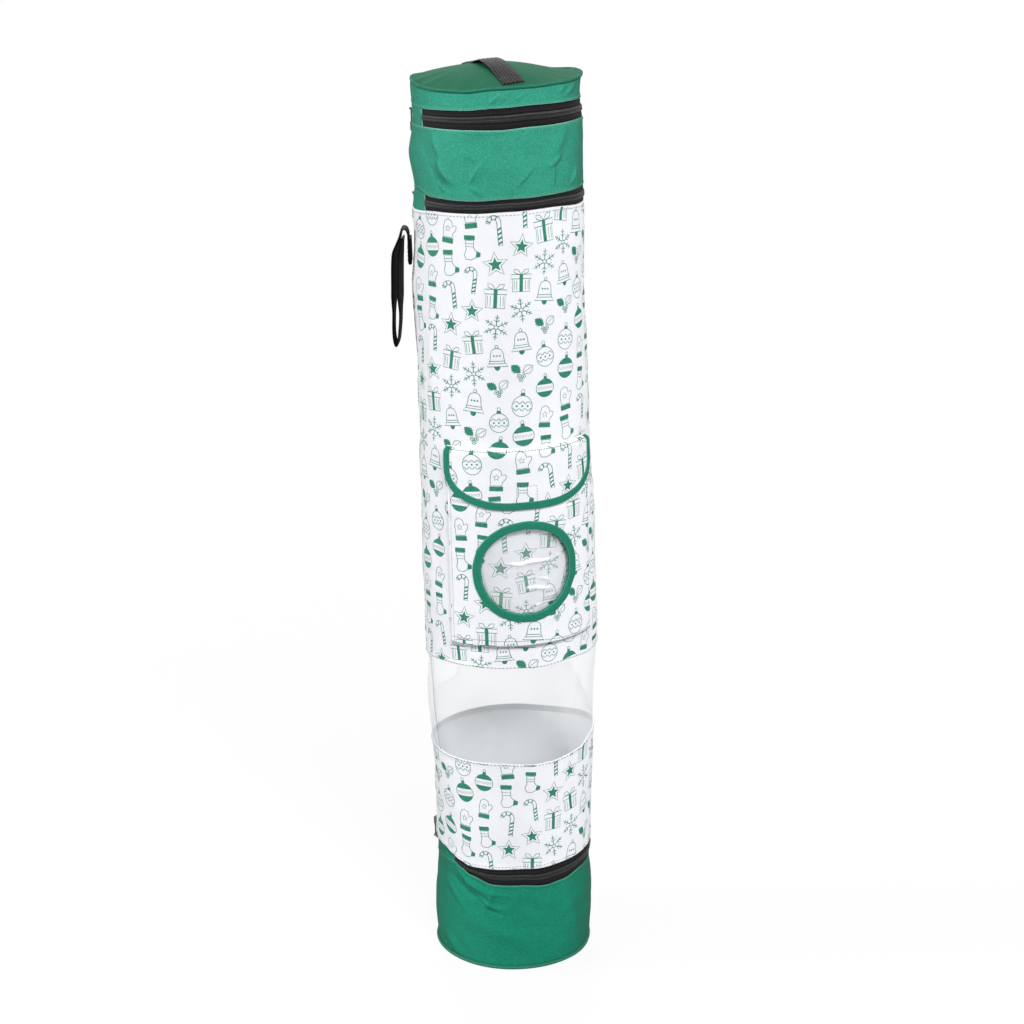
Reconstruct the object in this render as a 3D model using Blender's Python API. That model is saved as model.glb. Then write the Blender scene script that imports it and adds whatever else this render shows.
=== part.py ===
"""Gift wrap organizer: a soft standing tube that holds rolls of wrapping paper.

Three zipped compartments are stacked: a cup at the bottom, the long printed tube with its
clear window band, and a small compartment under a domed lid. Each zip runs most of the way
round, and a fabric tab joins the two sides where it stops, which makes the hinge.
Metres, +Z up. The origin is the centre of the base. The pocket faces -Y and the hinge tabs
are on the -X side. Angles run round the tube from 0 at the front towards +X.
"""
import math

import bmesh
import bpy
from mathutils import Matrix, Vector

# The tube
TUBE_RADIUS = 0.085
PRINT_SWELL = 0.0045
COMPARTMENT_SWELL = 0.001
CUP_SWELL = 0.0008
FABRIC = 0.0015
SEAM_GAP = 0.0003
RING_STEPS = 40
SHARP_ANGLE = math.radians(35)
MERGE_DISTANCE = 0.000001

# The bands, from the base up
CUP_HEIGHT = 0.1002
ZIP_WIDTH = 0.0192
LOWER_PRINT_HEIGHT = 0.1216
WINDOW_BAND_HEIGHT = 0.1035
UPPER_PRINT_HEIGHT = 0.475
MIDDLE_ZIP_WIDTH = 0.015
COMPARTMENT_HEIGHT = 0.0674
LID_BAND_HEIGHT = 0.0234

PRINT_LOW = CUP_HEIGHT + ZIP_WIDTH
WINDOW_LOW = PRINT_LOW + LOWER_PRINT_HEIGHT
WINDOW_HIGH = WINDOW_LOW + WINDOW_BAND_HEIGHT
PRINT_HIGH = WINDOW_HIGH + UPPER_PRINT_HEIGHT
COMPARTMENT_LOW = PRINT_HIGH + MIDDLE_ZIP_WIDTH
COMPARTMENT_HIGH = COMPARTMENT_LOW + COMPARTMENT_HEIGHT
LID_LOW = COMPARTMENT_HIGH + ZIP_WIDTH
LID_HIGH = LID_LOW + LID_BAND_HEIGHT

# Discs and piping
DISC_RADIUS = TUBE_RADIUS - FABRIC - SEAM_GAP
BASE_THICKNESS = 0.002
CUP_LIFT = 0.0004
LID_DOME = 0.0085
DOME_STEPS = 5
PIPING_RADIUS = 0.0011
PIPING_SIDES = 6
BASE_PIPING_HEIGHT = 0.004
LID_PIPING_DROP = 0.0014

# Zips
TAPE_SET_BACK = 0.0003
TAPE_THICKNESS = 0.0008
COIL_HEIGHT = 0.0015
COIL_SHOULDER = 0.0008
COIL_WIDTH = 0.003
SPLIT_GAP = 0.0004
TAPE_STEPS = 36
TAB_STEPS = 6
HINGE_OFFSET = 0.004
UPPER_TAB_ANGLE = math.radians(-96)
UPPER_TAB_SPAN = math.radians(46)
BOTTOM_TAB_ANGLE = math.radians(-90.5)
BOTTOM_TAB_SPAN = math.radians(57)
PARK_ANGLE = math.radians(1.2)

# Sliders and pulls
SLIDER_LENGTH = 0.009
SLIDER_HEIGHT = 0.0064
SLIDER_PLATE = 0.0012
SLIDER_BEVEL = 0.0016
SLIDER_CLEARANCE = 0.0008
POST_THICKNESS = 0.001
BAR_RADIUS = 0.0006
BAR_SIDES = 8
EYE_CLEARANCE = 0.0003
EYE_WALL = 0.0007
EYE_SIDES = 12
STEM_WIDTH = 0.0022
STEM_THICKNESS = 0.0011
STEM_LENGTH = 0.0135
TIP_WIDTH = 0.0052
TIP_THICKNESS = 0.0024
TIP_LENGTH = 0.0095
TIP_BEVEL = 0.0007

EYE_RADIUS = BAR_RADIUS + EYE_CLEARANCE + EYE_WALL
PLATE_OFFSET = COIL_HEIGHT + SLIDER_CLEARANCE
BAR_OFFSET = PLATE_OFFSET + SLIDER_PLATE + EYE_CLEARANCE + EYE_RADIUS

# Pocket and its round window
POCKET_WIDTH = 0.1664
POCKET_RAISE = 0.0288
POCKET_HEIGHT = 0.1912
POCKET_SIDE_DEPTH = 0.0045
POCKET_BULGE = 0.0025
POCKET_FABRIC = 0.001
POCKET_EDGE_STEPS = 4
WINDOW_CENTRE_SHARE = 0.4247
WINDOW_RADIUS_SHARE = 0.2369
WINDOW_BINDING_WIDTH = 0.0089
WINDOW_BINDING_THICKNESS = 0.001
WINDOW_STEPS = 12
WINDOW_RING_STEPS = 32
FILM_THICKNESS = 0.0006

POCKET_LOW = WINDOW_HIGH + POCKET_RAISE
POCKET_HIGH = POCKET_LOW + POCKET_HEIGHT
POCKET_OUTSIDE = POCKET_SIDE_DEPTH + POCKET_FABRIC
PANEL_RADIUS = TUBE_RADIUS + POCKET_SIDE_DEPTH + POCKET_BULGE
WINDOW_CENTRE = POCKET_LOW + POCKET_HEIGHT * WINDOW_CENTRE_SHARE
WINDOW_RADIUS = POCKET_HEIGHT * WINDOW_RADIUS_SHARE
WINDOW_HOLE_RADIUS = WINDOW_RADIUS + WINDOW_BINDING_WIDTH / 2

# Flap over the pocket
FLAP_RAISE = 0.02
FLAP_DROP_SHARE = 0.3347
FLAP_SIDE_SHARE = 0.1412
FLAP_OVERHANG = 0.002
FLAP_SEAM_DROP = 0.007
FLAP_FLAT_SHARE = 0.25
FLAP_STEPS = 9
FLAP_FLAT_STEPS = 8
FLAP_BINDING_WIDTH = 0.0065
FLAP_BINDING_THICKNESS = 0.0006
FASTENER_SIZE = 0.0195
FASTENER_RAISE = 0.016
FASTENER_THICKNESS = 0.0005

FLAP_HIGH = POCKET_HIGH + FLAP_RAISE
FLAP_LOW = FLAP_HIGH - POCKET_HEIGHT * FLAP_DROP_SHARE
FLAP_SIDE_LOW = FLAP_HIGH - POCKET_HEIGHT * FLAP_SIDE_SHARE
FLAP_FOLD = FLAP_HIGH - FLAP_SEAM_DROP
FLAP_HALF_WIDTH = POCKET_WIDTH / 2 + FLAP_OVERHANG
FLAP_INSIDE = POCKET_OUTSIDE + SEAM_GAP
FLAP_BULGE = POCKET_BULGE + 2 * FASTENER_THICKNESS + 2 * SEAM_GAP
FASTENER_HEIGHT = FLAP_LOW + FASTENER_RAISE

# Grab strap on the lid
STRAP_WIDTH = 0.023
STRAP_THICKNESS = 0.0016
STRAP_HALF_LENGTH = 0.076
STRAP_FOOT = 0.011
STRAP_ARCH = 0.0085
STRAP_STEPS = 20
STRAP_SIDEWAYS = -0.01
STRAP_TURN = math.radians(6.5)

# Carry strap on the side
CARRY_ANGLE = math.radians(-103)
CARRY_WIDTH = 0.025
CARRY_THICKNESS = 0.002
CARRY_PATCH_DROP = 0.064
CARRY_PATCH_HEIGHT = 0.036
CARRY_PATCH_THICKNESS = 0.003
CARRY_ARM_LENGTH = 0.0057
CARRY_ARM_THICKNESS = 0.003
CARRY_TURN_RADIUS = 0.002
CARRY_DROP = 0.12
CARRY_REACH = 0.0098
CARRY_BOTTOM_RADIUS = 0.004
TURN_STEPS = 6

# Heights of the loop's strands as shares of its drop, with how far out each one is there
OUTER_STRAND_SHARES = [(0.1, 0.62), (0.22, 0.86), (0.45, 0.98), (0.7, 1.0), (0.88, 0.95)]
INNER_STRAND_SHARES = [(0.88, 0.13), (0.7, 0.08), (0.45, 0.04), (0.22, 0.0), (0.1, -0.1)]

CARRY_PATCH_LOW = PRINT_HIGH - CARRY_PATCH_DROP
CARRY_PIVOT_OUT = SEAM_GAP + CARRY_ARM_LENGTH + SEAM_GAP + CARRY_TURN_RADIUS + CARRY_THICKNESS / 2
CARRY_PIVOT_HEIGHT = CARRY_PATCH_LOW + CARRY_PATCH_HEIGHT + CARRY_ARM_THICKNESS / 2


def clear_scene():
    for thing in list(bpy.data.objects):
        bpy.data.objects.remove(thing)


def make_material(name, look):
    """A material from a look: red, green, blue, alpha, roughness and metallic value."""
    material = bpy.data.materials.new(name)
    material.use_nodes = True
    shader = material.node_tree.nodes["Principled BSDF"]
    shader.inputs["Base Color"].default_value = (*look[:3], 1.0)
    shader.inputs["Alpha"].default_value = look[3]
    shader.inputs["Roughness"].default_value = look[4]
    shader.inputs["Metallic"].default_value = look[5]
    return material


def make_pivot(name, place):
    """An empty on a joint's axis, which the pieces of one moving body hang from."""
    pivot = bpy.data.objects.new(name, None)
    pivot.location = place
    bpy.context.scene.collection.objects.link(pivot)
    return pivot


def make_object(name, mesh, look, pivot=None):
    """Links a mesh, gives it its own material and parents it where it stands."""
    mesh.shade_smooth()
    mesh.set_sharp_from_angle(angle=SHARP_ANGLE)
    mesh.materials.clear()
    mesh.materials.append(make_material(name, look))
    thing = bpy.data.objects.new(name, mesh)
    bpy.context.scene.collection.objects.link(thing)
    if pivot is not None:
        thing.parent = pivot
        thing.matrix_parent_inverse = Matrix.Translation(-pivot.location)
    return thing


def mesh_from(name, work):
    """Merges coincident points, turns the faces outwards and makes the mesh."""
    bmesh.ops.remove_doubles(work, verts=work.verts, dist=MERGE_DISTANCE)
    bmesh.ops.recalc_face_normals(work, faces=work.faces)
    mesh = bpy.data.meshes.new(name)
    work.to_mesh(mesh)
    work.free()
    return mesh


def sheet_mesh(name, columns, rows, place, wrap=False, present=None):
    """A closed sheet. place(column, row, side) gives its points, side 0 in and 1 out."""
    work = bmesh.new()
    points = {}
    cells = columns if wrap else columns - 1

    def point(column, row, side):
        key = (column % columns if wrap else column, row, side)
        if key not in points:
            points[key] = work.verts.new(place(*key))
        return points[key]

    def is_there(column, row):
        if wrap:
            column %= cells
        inside = 0 <= column < cells and 0 <= row < rows - 1
        return inside and (present is None or present(column, row))

    def edge(first, second):
        work.faces.new([point(*first, 0), point(*second, 0), point(*second, 1), point(*first, 1)])

    for column in range(cells):
        for row in range(rows - 1):
            if not is_there(column, row):
                continue
            corners = [(column, row), (column + 1, row), (column + 1, row + 1), (column, row + 1)]
            work.faces.new([point(*corner, 1) for corner in corners])
            work.faces.new([point(*corner, 0) for corner in reversed(corners)])
            if not is_there(column, row - 1):
                edge(corners[0], corners[1])
            if not is_there(column + 1, row):
                edge(corners[1], corners[2])
            if not is_there(column, row + 1):
                edge(corners[2], corners[3])
            if not is_there(column - 1, row):
                edge(corners[3], corners[0])
    return mesh_from(name, work)


def turned_mesh(name, profile, closed=False):
    """Spins a profile of (radius, height) points round the tube's axis."""
    work = bmesh.new()
    corners = [work.verts.new((radius, 0.0, height)) for radius, height in profile]
    edges = [work.edges.new(pair) for pair in zip(corners, corners[1:])]
    if closed:
        edges.append(work.edges.new((corners[-1], corners[0])))
    bmesh.ops.spin(
        work, geom=corners + edges, cent=(0, 0, 0), axis=(0, 0, 1), dvec=(0, 0, 0),
        angle=2 * math.pi, steps=RING_STEPS, use_merge=True)
    return mesh_from(name, work)


def box_mesh(name, low, high, bevel=0.0):
    """A box between two corners, with every edge bevelled if a width is given."""
    work = bmesh.new()
    bmesh.ops.create_cube(work, size=1)
    for corner in work.verts:
        corner.co = [b if side > 0 else a for side, a, b in zip(corner.co, low, high)]
    if bevel:
        bmesh.ops.bevel(work, geom=list(work.edges), offset=bevel, segments=1, affect="EDGES")
    return mesh_from(name, work)


def union_mesh(name, meshes):
    """One mesh from several that overlap, joined by Boolean unions."""
    things = [bpy.data.objects.new(name, mesh) for mesh in meshes]
    for thing in things:
        bpy.context.scene.collection.objects.link(thing)
    for tool in things[1:]:
        modifier = things[0].modifiers.new("union", "BOOLEAN")
        modifier.operation = "UNION"
        modifier.object = tool
    seen = things[0].evaluated_get(bpy.context.evaluated_depsgraph_get())
    mesh = bpy.data.meshes.new_from_object(seen)
    mesh.name = name
    for thing in things:
        bpy.data.objects.remove(thing)
    return mesh


def swell_at(height):
    """How much wider and how much deeper than a circle the tube is at a height."""
    if PRINT_LOW < height < PRINT_HIGH:
        swell = PRINT_SWELL * math.sin(math.pi * (height - PRINT_LOW) / (PRINT_HIGH - PRINT_LOW))
        return swell, -swell
    if COMPARTMENT_LOW < height < COMPARTMENT_HIGH:
        along = (height - COMPARTMENT_LOW) / COMPARTMENT_HEIGHT
        swell = COMPARTMENT_SWELL * math.sin(math.pi * along)
        return swell, swell
    if height < CUP_HEIGHT:
        swell = CUP_SWELL * math.sin(math.pi * height / CUP_HEIGHT)
        return swell, swell
    return 0.0, 0.0


def on_skin(angle, height, offset):
    """The point that lies offset outside the tube's surface."""
    across, deep = swell_at(height)
    wide = TUBE_RADIUS + across + offset
    thick = TUBE_RADIUS + deep + offset
    return Vector((wide * math.sin(angle), -thick * math.cos(angle), height))


def bulge_at(arc, bulge):
    """How far a panel stands out at an arc beyond where the pocket's sides hold it."""
    return bulge * max(0.0, 1 - (2 * arc / POCKET_WIDTH) ** 2)


def on_panel(arc, height, offset):
    """A point outside the pocket's bulging panel, from an arc measured round it."""
    return on_skin(arc / PANEL_RADIUS, height, offset + bulge_at(arc, POCKET_BULGE))


def make_wall(name, low, high, sections, look, pivot=None):
    """A ring of fabric between two seams, with its swell in a few sections."""
    heights = [low + (high - low) * step / sections for step in range(sections + 1)]
    heights[0] += SEAM_GAP / 2
    heights[-1] -= SEAM_GAP / 2

    def place(column, row, side):
        offset = 0.0 if side else -FABRIC
        return on_skin(2 * math.pi * column / RING_STEPS, heights[row], offset)

    mesh = sheet_mesh(name, RING_STEPS, len(heights), place, wrap=True)
    return make_object(name, mesh, look, pivot)


def make_disc(name, low, thickness, look, pivot=None):
    high = low + thickness
    profile = [(0, high), (DISC_RADIUS, high), (DISC_RADIUS, low), (0, low)]
    return make_object(name, turned_mesh(name, profile), look, pivot)


def make_piping(name, height, look, pivot=None):
    centre = TUBE_RADIUS + SEAM_GAP + PIPING_RADIUS
    profile = []
    for side in range(PIPING_SIDES):
        angle = 2 * math.pi * side / PIPING_SIDES
        out = centre + PIPING_RADIUS * math.cos(angle)
        profile.append((out, height + PIPING_RADIUS * math.sin(angle)))
    return make_object(name, turned_mesh(name, profile, closed=True), look, pivot)


def dome_height(radius):
    return LID_HIGH + LID_DOME * (1 - (radius / DISC_RADIUS) ** 2)


def make_lid_panel(name, look, pivot):
    radii = [DISC_RADIUS * step / DOME_STEPS for step in range(DOME_STEPS + 1)]
    outside = [(radius, dome_height(radius) - SEAM_GAP / 2) for radius in radii]
    inside = [(radius, height - FABRIC) for radius, height in reversed(outside)]
    return make_object(name, turned_mesh(name, outside + inside), look, pivot)


def hinge_point(angle, height):
    """A point on a fabric hinge's axis, just outside the tab."""
    out = TUBE_RADIUS + HINGE_OFFSET
    return Vector((out * math.sin(angle), -out * math.cos(angle), height))


def tape_angle(zip_place, step):
    start = zip_place["tab_angle"] + zip_place["tab_span"] / 2
    return start + (2 * math.pi - zip_place["tab_span"]) * step / TAPE_STEPS


def make_tape(name, zip_place, low, high, look, pivot):
    def place(column, row, side):
        offset = -TAPE_SET_BACK if side else -TAPE_SET_BACK - TAPE_THICKNESS
        return on_skin(tape_angle(zip_place, column), (low, high)[row], offset)

    mesh = sheet_mesh(name, TAPE_STEPS + 1, 2, place)
    return make_object(name, mesh, look, pivot)


def make_coil(name, zip_place, up, look, pivot):
    """Half of the zip's ridge, above or below the line where the two halves part."""
    middle = zip_place["middle"]
    heights = [SPLIT_GAP / 2, COIL_WIDTH / 2, COIL_WIDTH]
    offsets = [COIL_HEIGHT, COIL_HEIGHT, COIL_SHOULDER]
    foot = SEAM_GAP - TAPE_SET_BACK

    def place(column, row, side):
        offset = offsets[row] if side else foot
        return on_skin(tape_angle(zip_place, column), middle + up * heights[row], offset)

    mesh = sheet_mesh(name, TAPE_STEPS + 1, len(heights), place)
    return make_object(name, mesh, look, pivot)


def make_tab(name, zip_place, look, pivot):
    """The fabric that joins the two sides where the zip stops, and bends as the hinge."""
    span = zip_place["tab_span"] - 2 * SEAM_GAP / TUBE_RADIUS
    start = zip_place["tab_angle"] - span / 2
    heights = [zip_place["low"] + SEAM_GAP / 2, zip_place["high"] - SEAM_GAP / 2]

    def place(column, row, side):
        offset = 0.0 if side else -FABRIC
        return on_skin(start + span * column / TAB_STEPS, heights[row], offset)

    mesh = sheet_mesh(name, TAB_STEPS + 1, 2, place)
    return make_object(name, mesh, look, pivot)


def slider_mesh():
    """A slider as it sits at the front: X along the zip, -Y outwards, Z from its middle."""
    near = TUBE_RADIUS + PLATE_OFFSET
    half = SLIDER_LENGTH / 2
    tall = SLIDER_HEIGHT / 2
    plate = box_mesh("plate", (-half, -near - SLIDER_PLATE, -tall), (half, -near, tall))
    work = bmesh.new()
    work.from_mesh(plate)
    corners = [e for e in work.edges if abs(e.verts[0].co.y - e.verts[1].co.y) > SLIDER_PLATE / 2]
    bmesh.ops.bevel(work, geom=corners, offset=SLIDER_BEVEL, segments=2, affect="EDGES", profile=0.5)
    meshes = [mesh_from("plate", work)]
    bar_out = TUBE_RADIUS + BAR_OFFSET
    for side in (-1, 1):
        ends = sorted((side * (half - SLIDER_BEVEL / 2), side * (half - SLIDER_BEVEL / 2 - POST_THICKNESS)))
        low = (ends[0], -bar_out - BAR_RADIUS - EYE_CLEARANCE, -POST_THICKNESS)
        high = (ends[1], -near - SLIDER_PLATE / 2, POST_THICKNESS)
        meshes.append(box_mesh("post", low, high))
    bar = bmesh.new()
    turn = Matrix.Translation((0, -bar_out, 0)) @ Matrix.Rotation(math.pi / 2, 4, "Y")
    bmesh.ops.create_cone(
        bar, cap_ends=True, segments=BAR_SIDES, radius1=BAR_RADIUS, radius2=BAR_RADIUS,
        depth=SLIDER_LENGTH - SLIDER_BEVEL - POST_THICKNESS, matrix=turn)
    meshes.append(mesh_from("bar", bar))
    return union_mesh("slider", meshes)


def pull_mesh():
    """A pull hanging from its hinge at the origin: an eye, a stem and a moulded tip."""
    def place(column, row, side):
        angle = 2 * math.pi * column / EYE_SIDES
        radius = EYE_RADIUS if side else EYE_RADIUS - EYE_WALL
        return (STEM_WIDTH * (row - 0.5), radius * math.sin(angle), radius * math.cos(angle))

    eye = sheet_mesh("eye", EYE_SIDES, 2, place, wrap=True)
    top = -EYE_RADIUS + EYE_WALL / 2
    foot = top - STEM_LENGTH
    stem = box_mesh(
        "stem", (-STEM_WIDTH / 2, -STEM_THICKNESS / 2, foot), (STEM_WIDTH / 2, STEM_THICKNESS / 2, top))
    tip_top = foot + TIP_BEVEL + STEM_THICKNESS
    tip = box_mesh(
        "tip", (-TIP_WIDTH / 2, -TIP_THICKNESS / 2, tip_top - TIP_LENGTH),
        (TIP_WIDTH / 2, TIP_THICKNESS / 2, tip_top), TIP_BEVEL)
    return union_mesh("pull", [eye, stem, tip])


def make_slider_and_pull(zip_place, slider, pull, look):
    """The slider turns about the tube's axis as it runs along the zip."""
    name = zip_place["name"]
    angle = zip_place["tab_angle"] - zip_place["tab_span"] / 2 - PARK_ANGLE
    thing = make_object(name + "_zip_slider", slider.copy(), look)
    thing.location = (0, 0, zip_place["middle"])
    thing.rotation_euler = (0, 0, angle)
    out = TUBE_RADIUS + BAR_OFFSET
    hung = make_object(name + "_zip_pull", pull.copy(), look)
    hung.location = (out * math.sin(angle), -out * math.cos(angle), zip_place["middle"])
    hung.rotation_euler = (0, math.pi if zip_place["pull_up"] else 0, angle)


def make_zip(zip_place, tape, coil, metal, slider, pull):
    """Two tapes, the two halves of the coil, the hinge tab, the slider and its pull."""
    name = zip_place["name"]
    middle = zip_place["middle"]
    low = zip_place["low"] + SEAM_GAP / 2
    high = zip_place["high"] - SEAM_GAP / 2
    below = zip_place["below"]
    above = zip_place["above"]
    make_tape(name + "_zip_lower_tape", zip_place, low, middle - SPLIT_GAP / 2, tape, below)
    make_tape(name + "_zip_upper_tape", zip_place, middle + SPLIT_GAP / 2, high, tape, above)
    make_coil(name + "_zip_lower_coil", zip_place, -1, coil, below)
    make_coil(name + "_zip_upper_coil", zip_place, 1, coil, above)
    make_tab(name + "_zip_hinge_tab", zip_place, zip_place["tab_look"], zip_place["tab_body"])
    make_slider_and_pull(zip_place, slider, pull, metal)


def window_edge(radius, step):
    """A corner of the round window, left to right: its arc and its half height."""
    angle = math.pi * (step + 0.5) / WINDOW_STEPS
    return -radius * math.cos(angle), radius * math.sin(angle)


def pocket_columns():
    """Stations across the pocket: arc inside, arc outside, is it on the wall, half window."""
    half = POCKET_WIDTH / 2
    inner_half = half - POCKET_FABRIC
    window = [window_edge(WINDOW_HOLE_RADIUS, step) for step in range(WINDOW_STEPS)]
    first, end_height = window[0]
    stations = [(-inner_half, -half, True, end_height), (-inner_half, -half, False, end_height)]
    for step in range(1, POCKET_EDGE_STEPS):
        arc = -half + (first + half) * step / POCKET_EDGE_STEPS
        stations.append((arc, arc, False, end_height))
    stations += [(arc, arc, False, tall) for arc, tall in window[:WINDOW_STEPS // 2]]
    mirrored = [(-a, -b, wall, tall) for a, b, wall, tall in reversed(stations)]
    return stations + mirrored


def make_pocket(name, look):
    """The panel with its round hole, its side gussets and its closed bottom."""
    columns = pocket_columns()
    first_hole = 1 + POCKET_EDGE_STEPS
    last_hole = first_hole + WINDOW_STEPS - 1
    foot = POCKET_LOW + POCKET_FABRIC
    rows = 6

    def place(column, row, side):
        inside, outside, on_wall, tall = columns[column]
        heights = [foot, foot, WINDOW_CENTRE - tall, WINDOW_CENTRE + tall, 0, POCKET_HIGH]
        heights[4] = (WINDOW_CENTRE + WINDOW_HOLE_RADIUS + POCKET_HIGH) / 2
        height = heights[row]
        if side and row < 2:
            height = POCKET_LOW
        arc = outside if side else inside
        if on_wall or row == 0:
            return on_skin(arc / PANEL_RADIUS, height, SEAM_GAP)
        return on_panel(arc, height, POCKET_OUTSIDE if side else POCKET_SIDE_DEPTH)

    def present(column, row):
        return row != 2 or not first_hole <= column < last_hole

    mesh = sheet_mesh(name, len(columns), rows, place, present=present)
    return make_object(name, mesh, look)


def make_window_film(name, look):
    """Clear film that fills the round hole, under the inner edge of the binding."""
    radius = WINDOW_HOLE_RADIUS - SEAM_GAP
    near = POCKET_SIDE_DEPTH + (POCKET_FABRIC - FILM_THICKNESS) / 2

    def place(column, row, side):
        arc, tall = window_edge(radius, column)
        height = WINDOW_CENTRE + (tall if row else -tall)
        return on_panel(arc, height, near + FILM_THICKNESS * side)

    mesh = sheet_mesh(name, WINDOW_STEPS, 2, place)
    return make_object(name, mesh, look)


def make_window_binding(name, look):
    near = POCKET_OUTSIDE + SEAM_GAP

    def place(column, row, side):
        angle = 2 * math.pi * column / WINDOW_RING_STEPS
        radius = WINDOW_RADIUS + WINDOW_BINDING_WIDTH * row
        height = WINDOW_CENTRE + radius * math.sin(angle)
        return on_panel(radius * math.cos(angle), height, near + WINDOW_BINDING_THICKNESS * side)

    mesh = sheet_mesh(name, WINDOW_RING_STEPS, 2, place, wrap=True)
    return make_object(name, mesh, look)


def make_fastener(name, near, look, pivot=None):
    """A square of hook or loop tape at the middle of the flap's lower edge."""
    half = FASTENER_SIZE / 2

    def place(column, row, side):
        height = FASTENER_HEIGHT + half * (2 * row - 1)
        return on_panel(half * (column - 1), height, near + FASTENER_THICKNESS * side)

    return make_object(name, sheet_mesh(name, 3, 2, place), look, pivot)


def flap_edge():
    """The lower edge of the flap, left to right: straight sides and round corners."""
    rise = FLAP_SIDE_LOW - FLAP_LOW
    flat = FLAP_HALF_WIDTH * FLAP_FLAT_SHARE
    corner = FLAP_HALF_WIDTH - flat
    right = []
    for step in range(FLAP_STEPS + 1):
        angle = math.pi / 2 * step / FLAP_STEPS
        right.append((flat + corner * math.sin(angle), FLAP_LOW + rise * (1 - math.cos(angle))))
    left = [(-arc, height) for arc, height in reversed(right)]
    steps = range(1, FLAP_FLAT_STEPS)
    middle = [(flat * (2 * step / FLAP_FLAT_STEPS - 1), FLAP_LOW) for step in steps]
    return left + middle + right


def on_flap(arc, height, offset):
    """A point outside the flap's inner face, which hangs clear of the pocket."""
    out = FLAP_INSIDE + bulge_at(arc, FLAP_BULGE) + offset
    return on_skin(arc / PANEL_RADIUS, height, out)


def make_flap_seam(name, look):
    """The sewn top strip of the flap, from the tube's wall out to where the flap folds."""
    edge = flap_edge()

    def place(column, row, side):
        arc = edge[column][0]
        if row == 0:
            return on_flap(arc, FLAP_FOLD + SEAM_GAP / 2, POCKET_FABRIC * side)
        return on_skin(arc / PANEL_RADIUS, FLAP_HIGH, SEAM_GAP + POCKET_FABRIC * side)

    return make_object(name, sheet_mesh(name, len(edge), 2, place), look)


def make_flap(name, look, pivot):
    edge = flap_edge()

    def place(column, row, side):
        arc, low = edge[column]
        return on_flap(arc, FLAP_FOLD - SEAM_GAP / 2 if row else low, POCKET_FABRIC * side)

    return make_object(name, sheet_mesh(name, len(edge), 2, place), look, pivot)


def make_flap_binding(name, look, pivot):
    """A strip along the flap's sides and lower edge."""
    edge = flap_edge()
    top = FLAP_FOLD - SEAM_GAP / 2
    line = [(edge[0][0], top), *edge, (edge[-1][0], top)]

    def inner(column):
        here = Vector(line[column])
        before = Vector(line[max(column - 1, 0)])
        after = Vector(line[min(column + 1, len(line) - 1)])
        along = (after - before).normalized()
        return here + FLAP_BINDING_WIDTH * Vector((-along.y, along.x))

    def place(column, row, side):
        arc, height = inner(column) if row else line[column]
        return on_flap(arc, height, POCKET_FABRIC + SEAM_GAP + FLAP_BINDING_THICKNESS * side)

    return make_object(name, sheet_mesh(name, len(line), 2, place), look, pivot)


def make_lid_strap(name, look, pivot):
    """A webbing handle: its feet lie on the dome and its middle arches over it."""
    turn = Matrix.Rotation(STRAP_TURN, 3, "Z")
    free = STRAP_HALF_LENGTH - STRAP_FOOT

    def place(column, row, side):
        along = STRAP_HALF_LENGTH * (2 * column / STRAP_STEPS - 1)
        across = STRAP_SIDEWAYS + STRAP_WIDTH * (row - 1) / 2
        flat = turn @ Vector((across, along, 0))
        arch = math.cos(math.pi / 2 * along / free) ** 2 if abs(along) < free else 0
        height = dome_height(flat.length) + SEAM_GAP + STRAP_ARCH * arch
        return Vector((flat.x, flat.y, height + STRAP_THICKNESS * side))

    return make_object(name, sheet_mesh(name, STRAP_STEPS + 1, 3, place), look, pivot)


def carry_point(across, out, height):
    """A point by the carry strap: along the wall, out from it, and up."""
    base = on_skin(CARRY_ANGLE, CARRY_PATCH_LOW, 0)
    outwards = Vector((math.sin(CARRY_ANGLE), -math.cos(CARRY_ANGLE), 0))
    sideways = Vector((math.cos(CARRY_ANGLE), math.sin(CARRY_ANGLE), 0))
    place = base + outwards * out + sideways * across
    return Vector((place.x, place.y, height))


def make_carry_end(name, look):
    """The sewn end of the carry strap, with the short arm that the loop hangs from."""
    near = SEAM_GAP
    patch_out = near + CARRY_PATCH_THICKNESS
    arm_out = near + CARRY_ARM_LENGTH
    shoulder = CARRY_PATCH_LOW + CARRY_PATCH_HEIGHT
    top = shoulder + CARRY_ARM_THICKNESS
    inside = [(near, CARRY_PATCH_LOW), (near, shoulder), (near, top), (arm_out, top)]
    corner = (patch_out, shoulder)
    outside = [(patch_out, CARRY_PATCH_LOW), corner, corner, (arm_out, shoulder)]

    def place(column, row, side):
        out, height = (outside if side else inside)[column]
        return carry_point(CARRY_WIDTH * (row - 0.5), out, height)

    return make_object(name, sheet_mesh(name, len(inside), 2, place), look)


def carry_line():
    """The middle of the loop's webbing, out from the pivot and up from it, as one ring."""
    def turn(radius, start, out, height, steps):
        angles = [start - math.pi * step / steps for step in range(steps + 1)]
        return [(out + radius * math.cos(a), height + radius * math.sin(a)) for a in angles]

    outer = [(CARRY_REACH * share, -CARRY_DROP * drop) for drop, share in OUTER_STRAND_SHARES]
    inner = [(CARRY_REACH * share, -CARRY_DROP * drop) for drop, share in INNER_STRAND_SHARES]
    top = turn(CARRY_TURN_RADIUS, math.pi, 0, 0, TURN_STEPS)
    middle = (outer[-1][0] + inner[0][0]) / 2
    bottom = turn(CARRY_BOTTOM_RADIUS, 0, middle, -CARRY_DROP + CARRY_BOTTOM_RADIUS, TURN_STEPS)
    return top + outer + bottom[:-1] + inner


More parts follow.
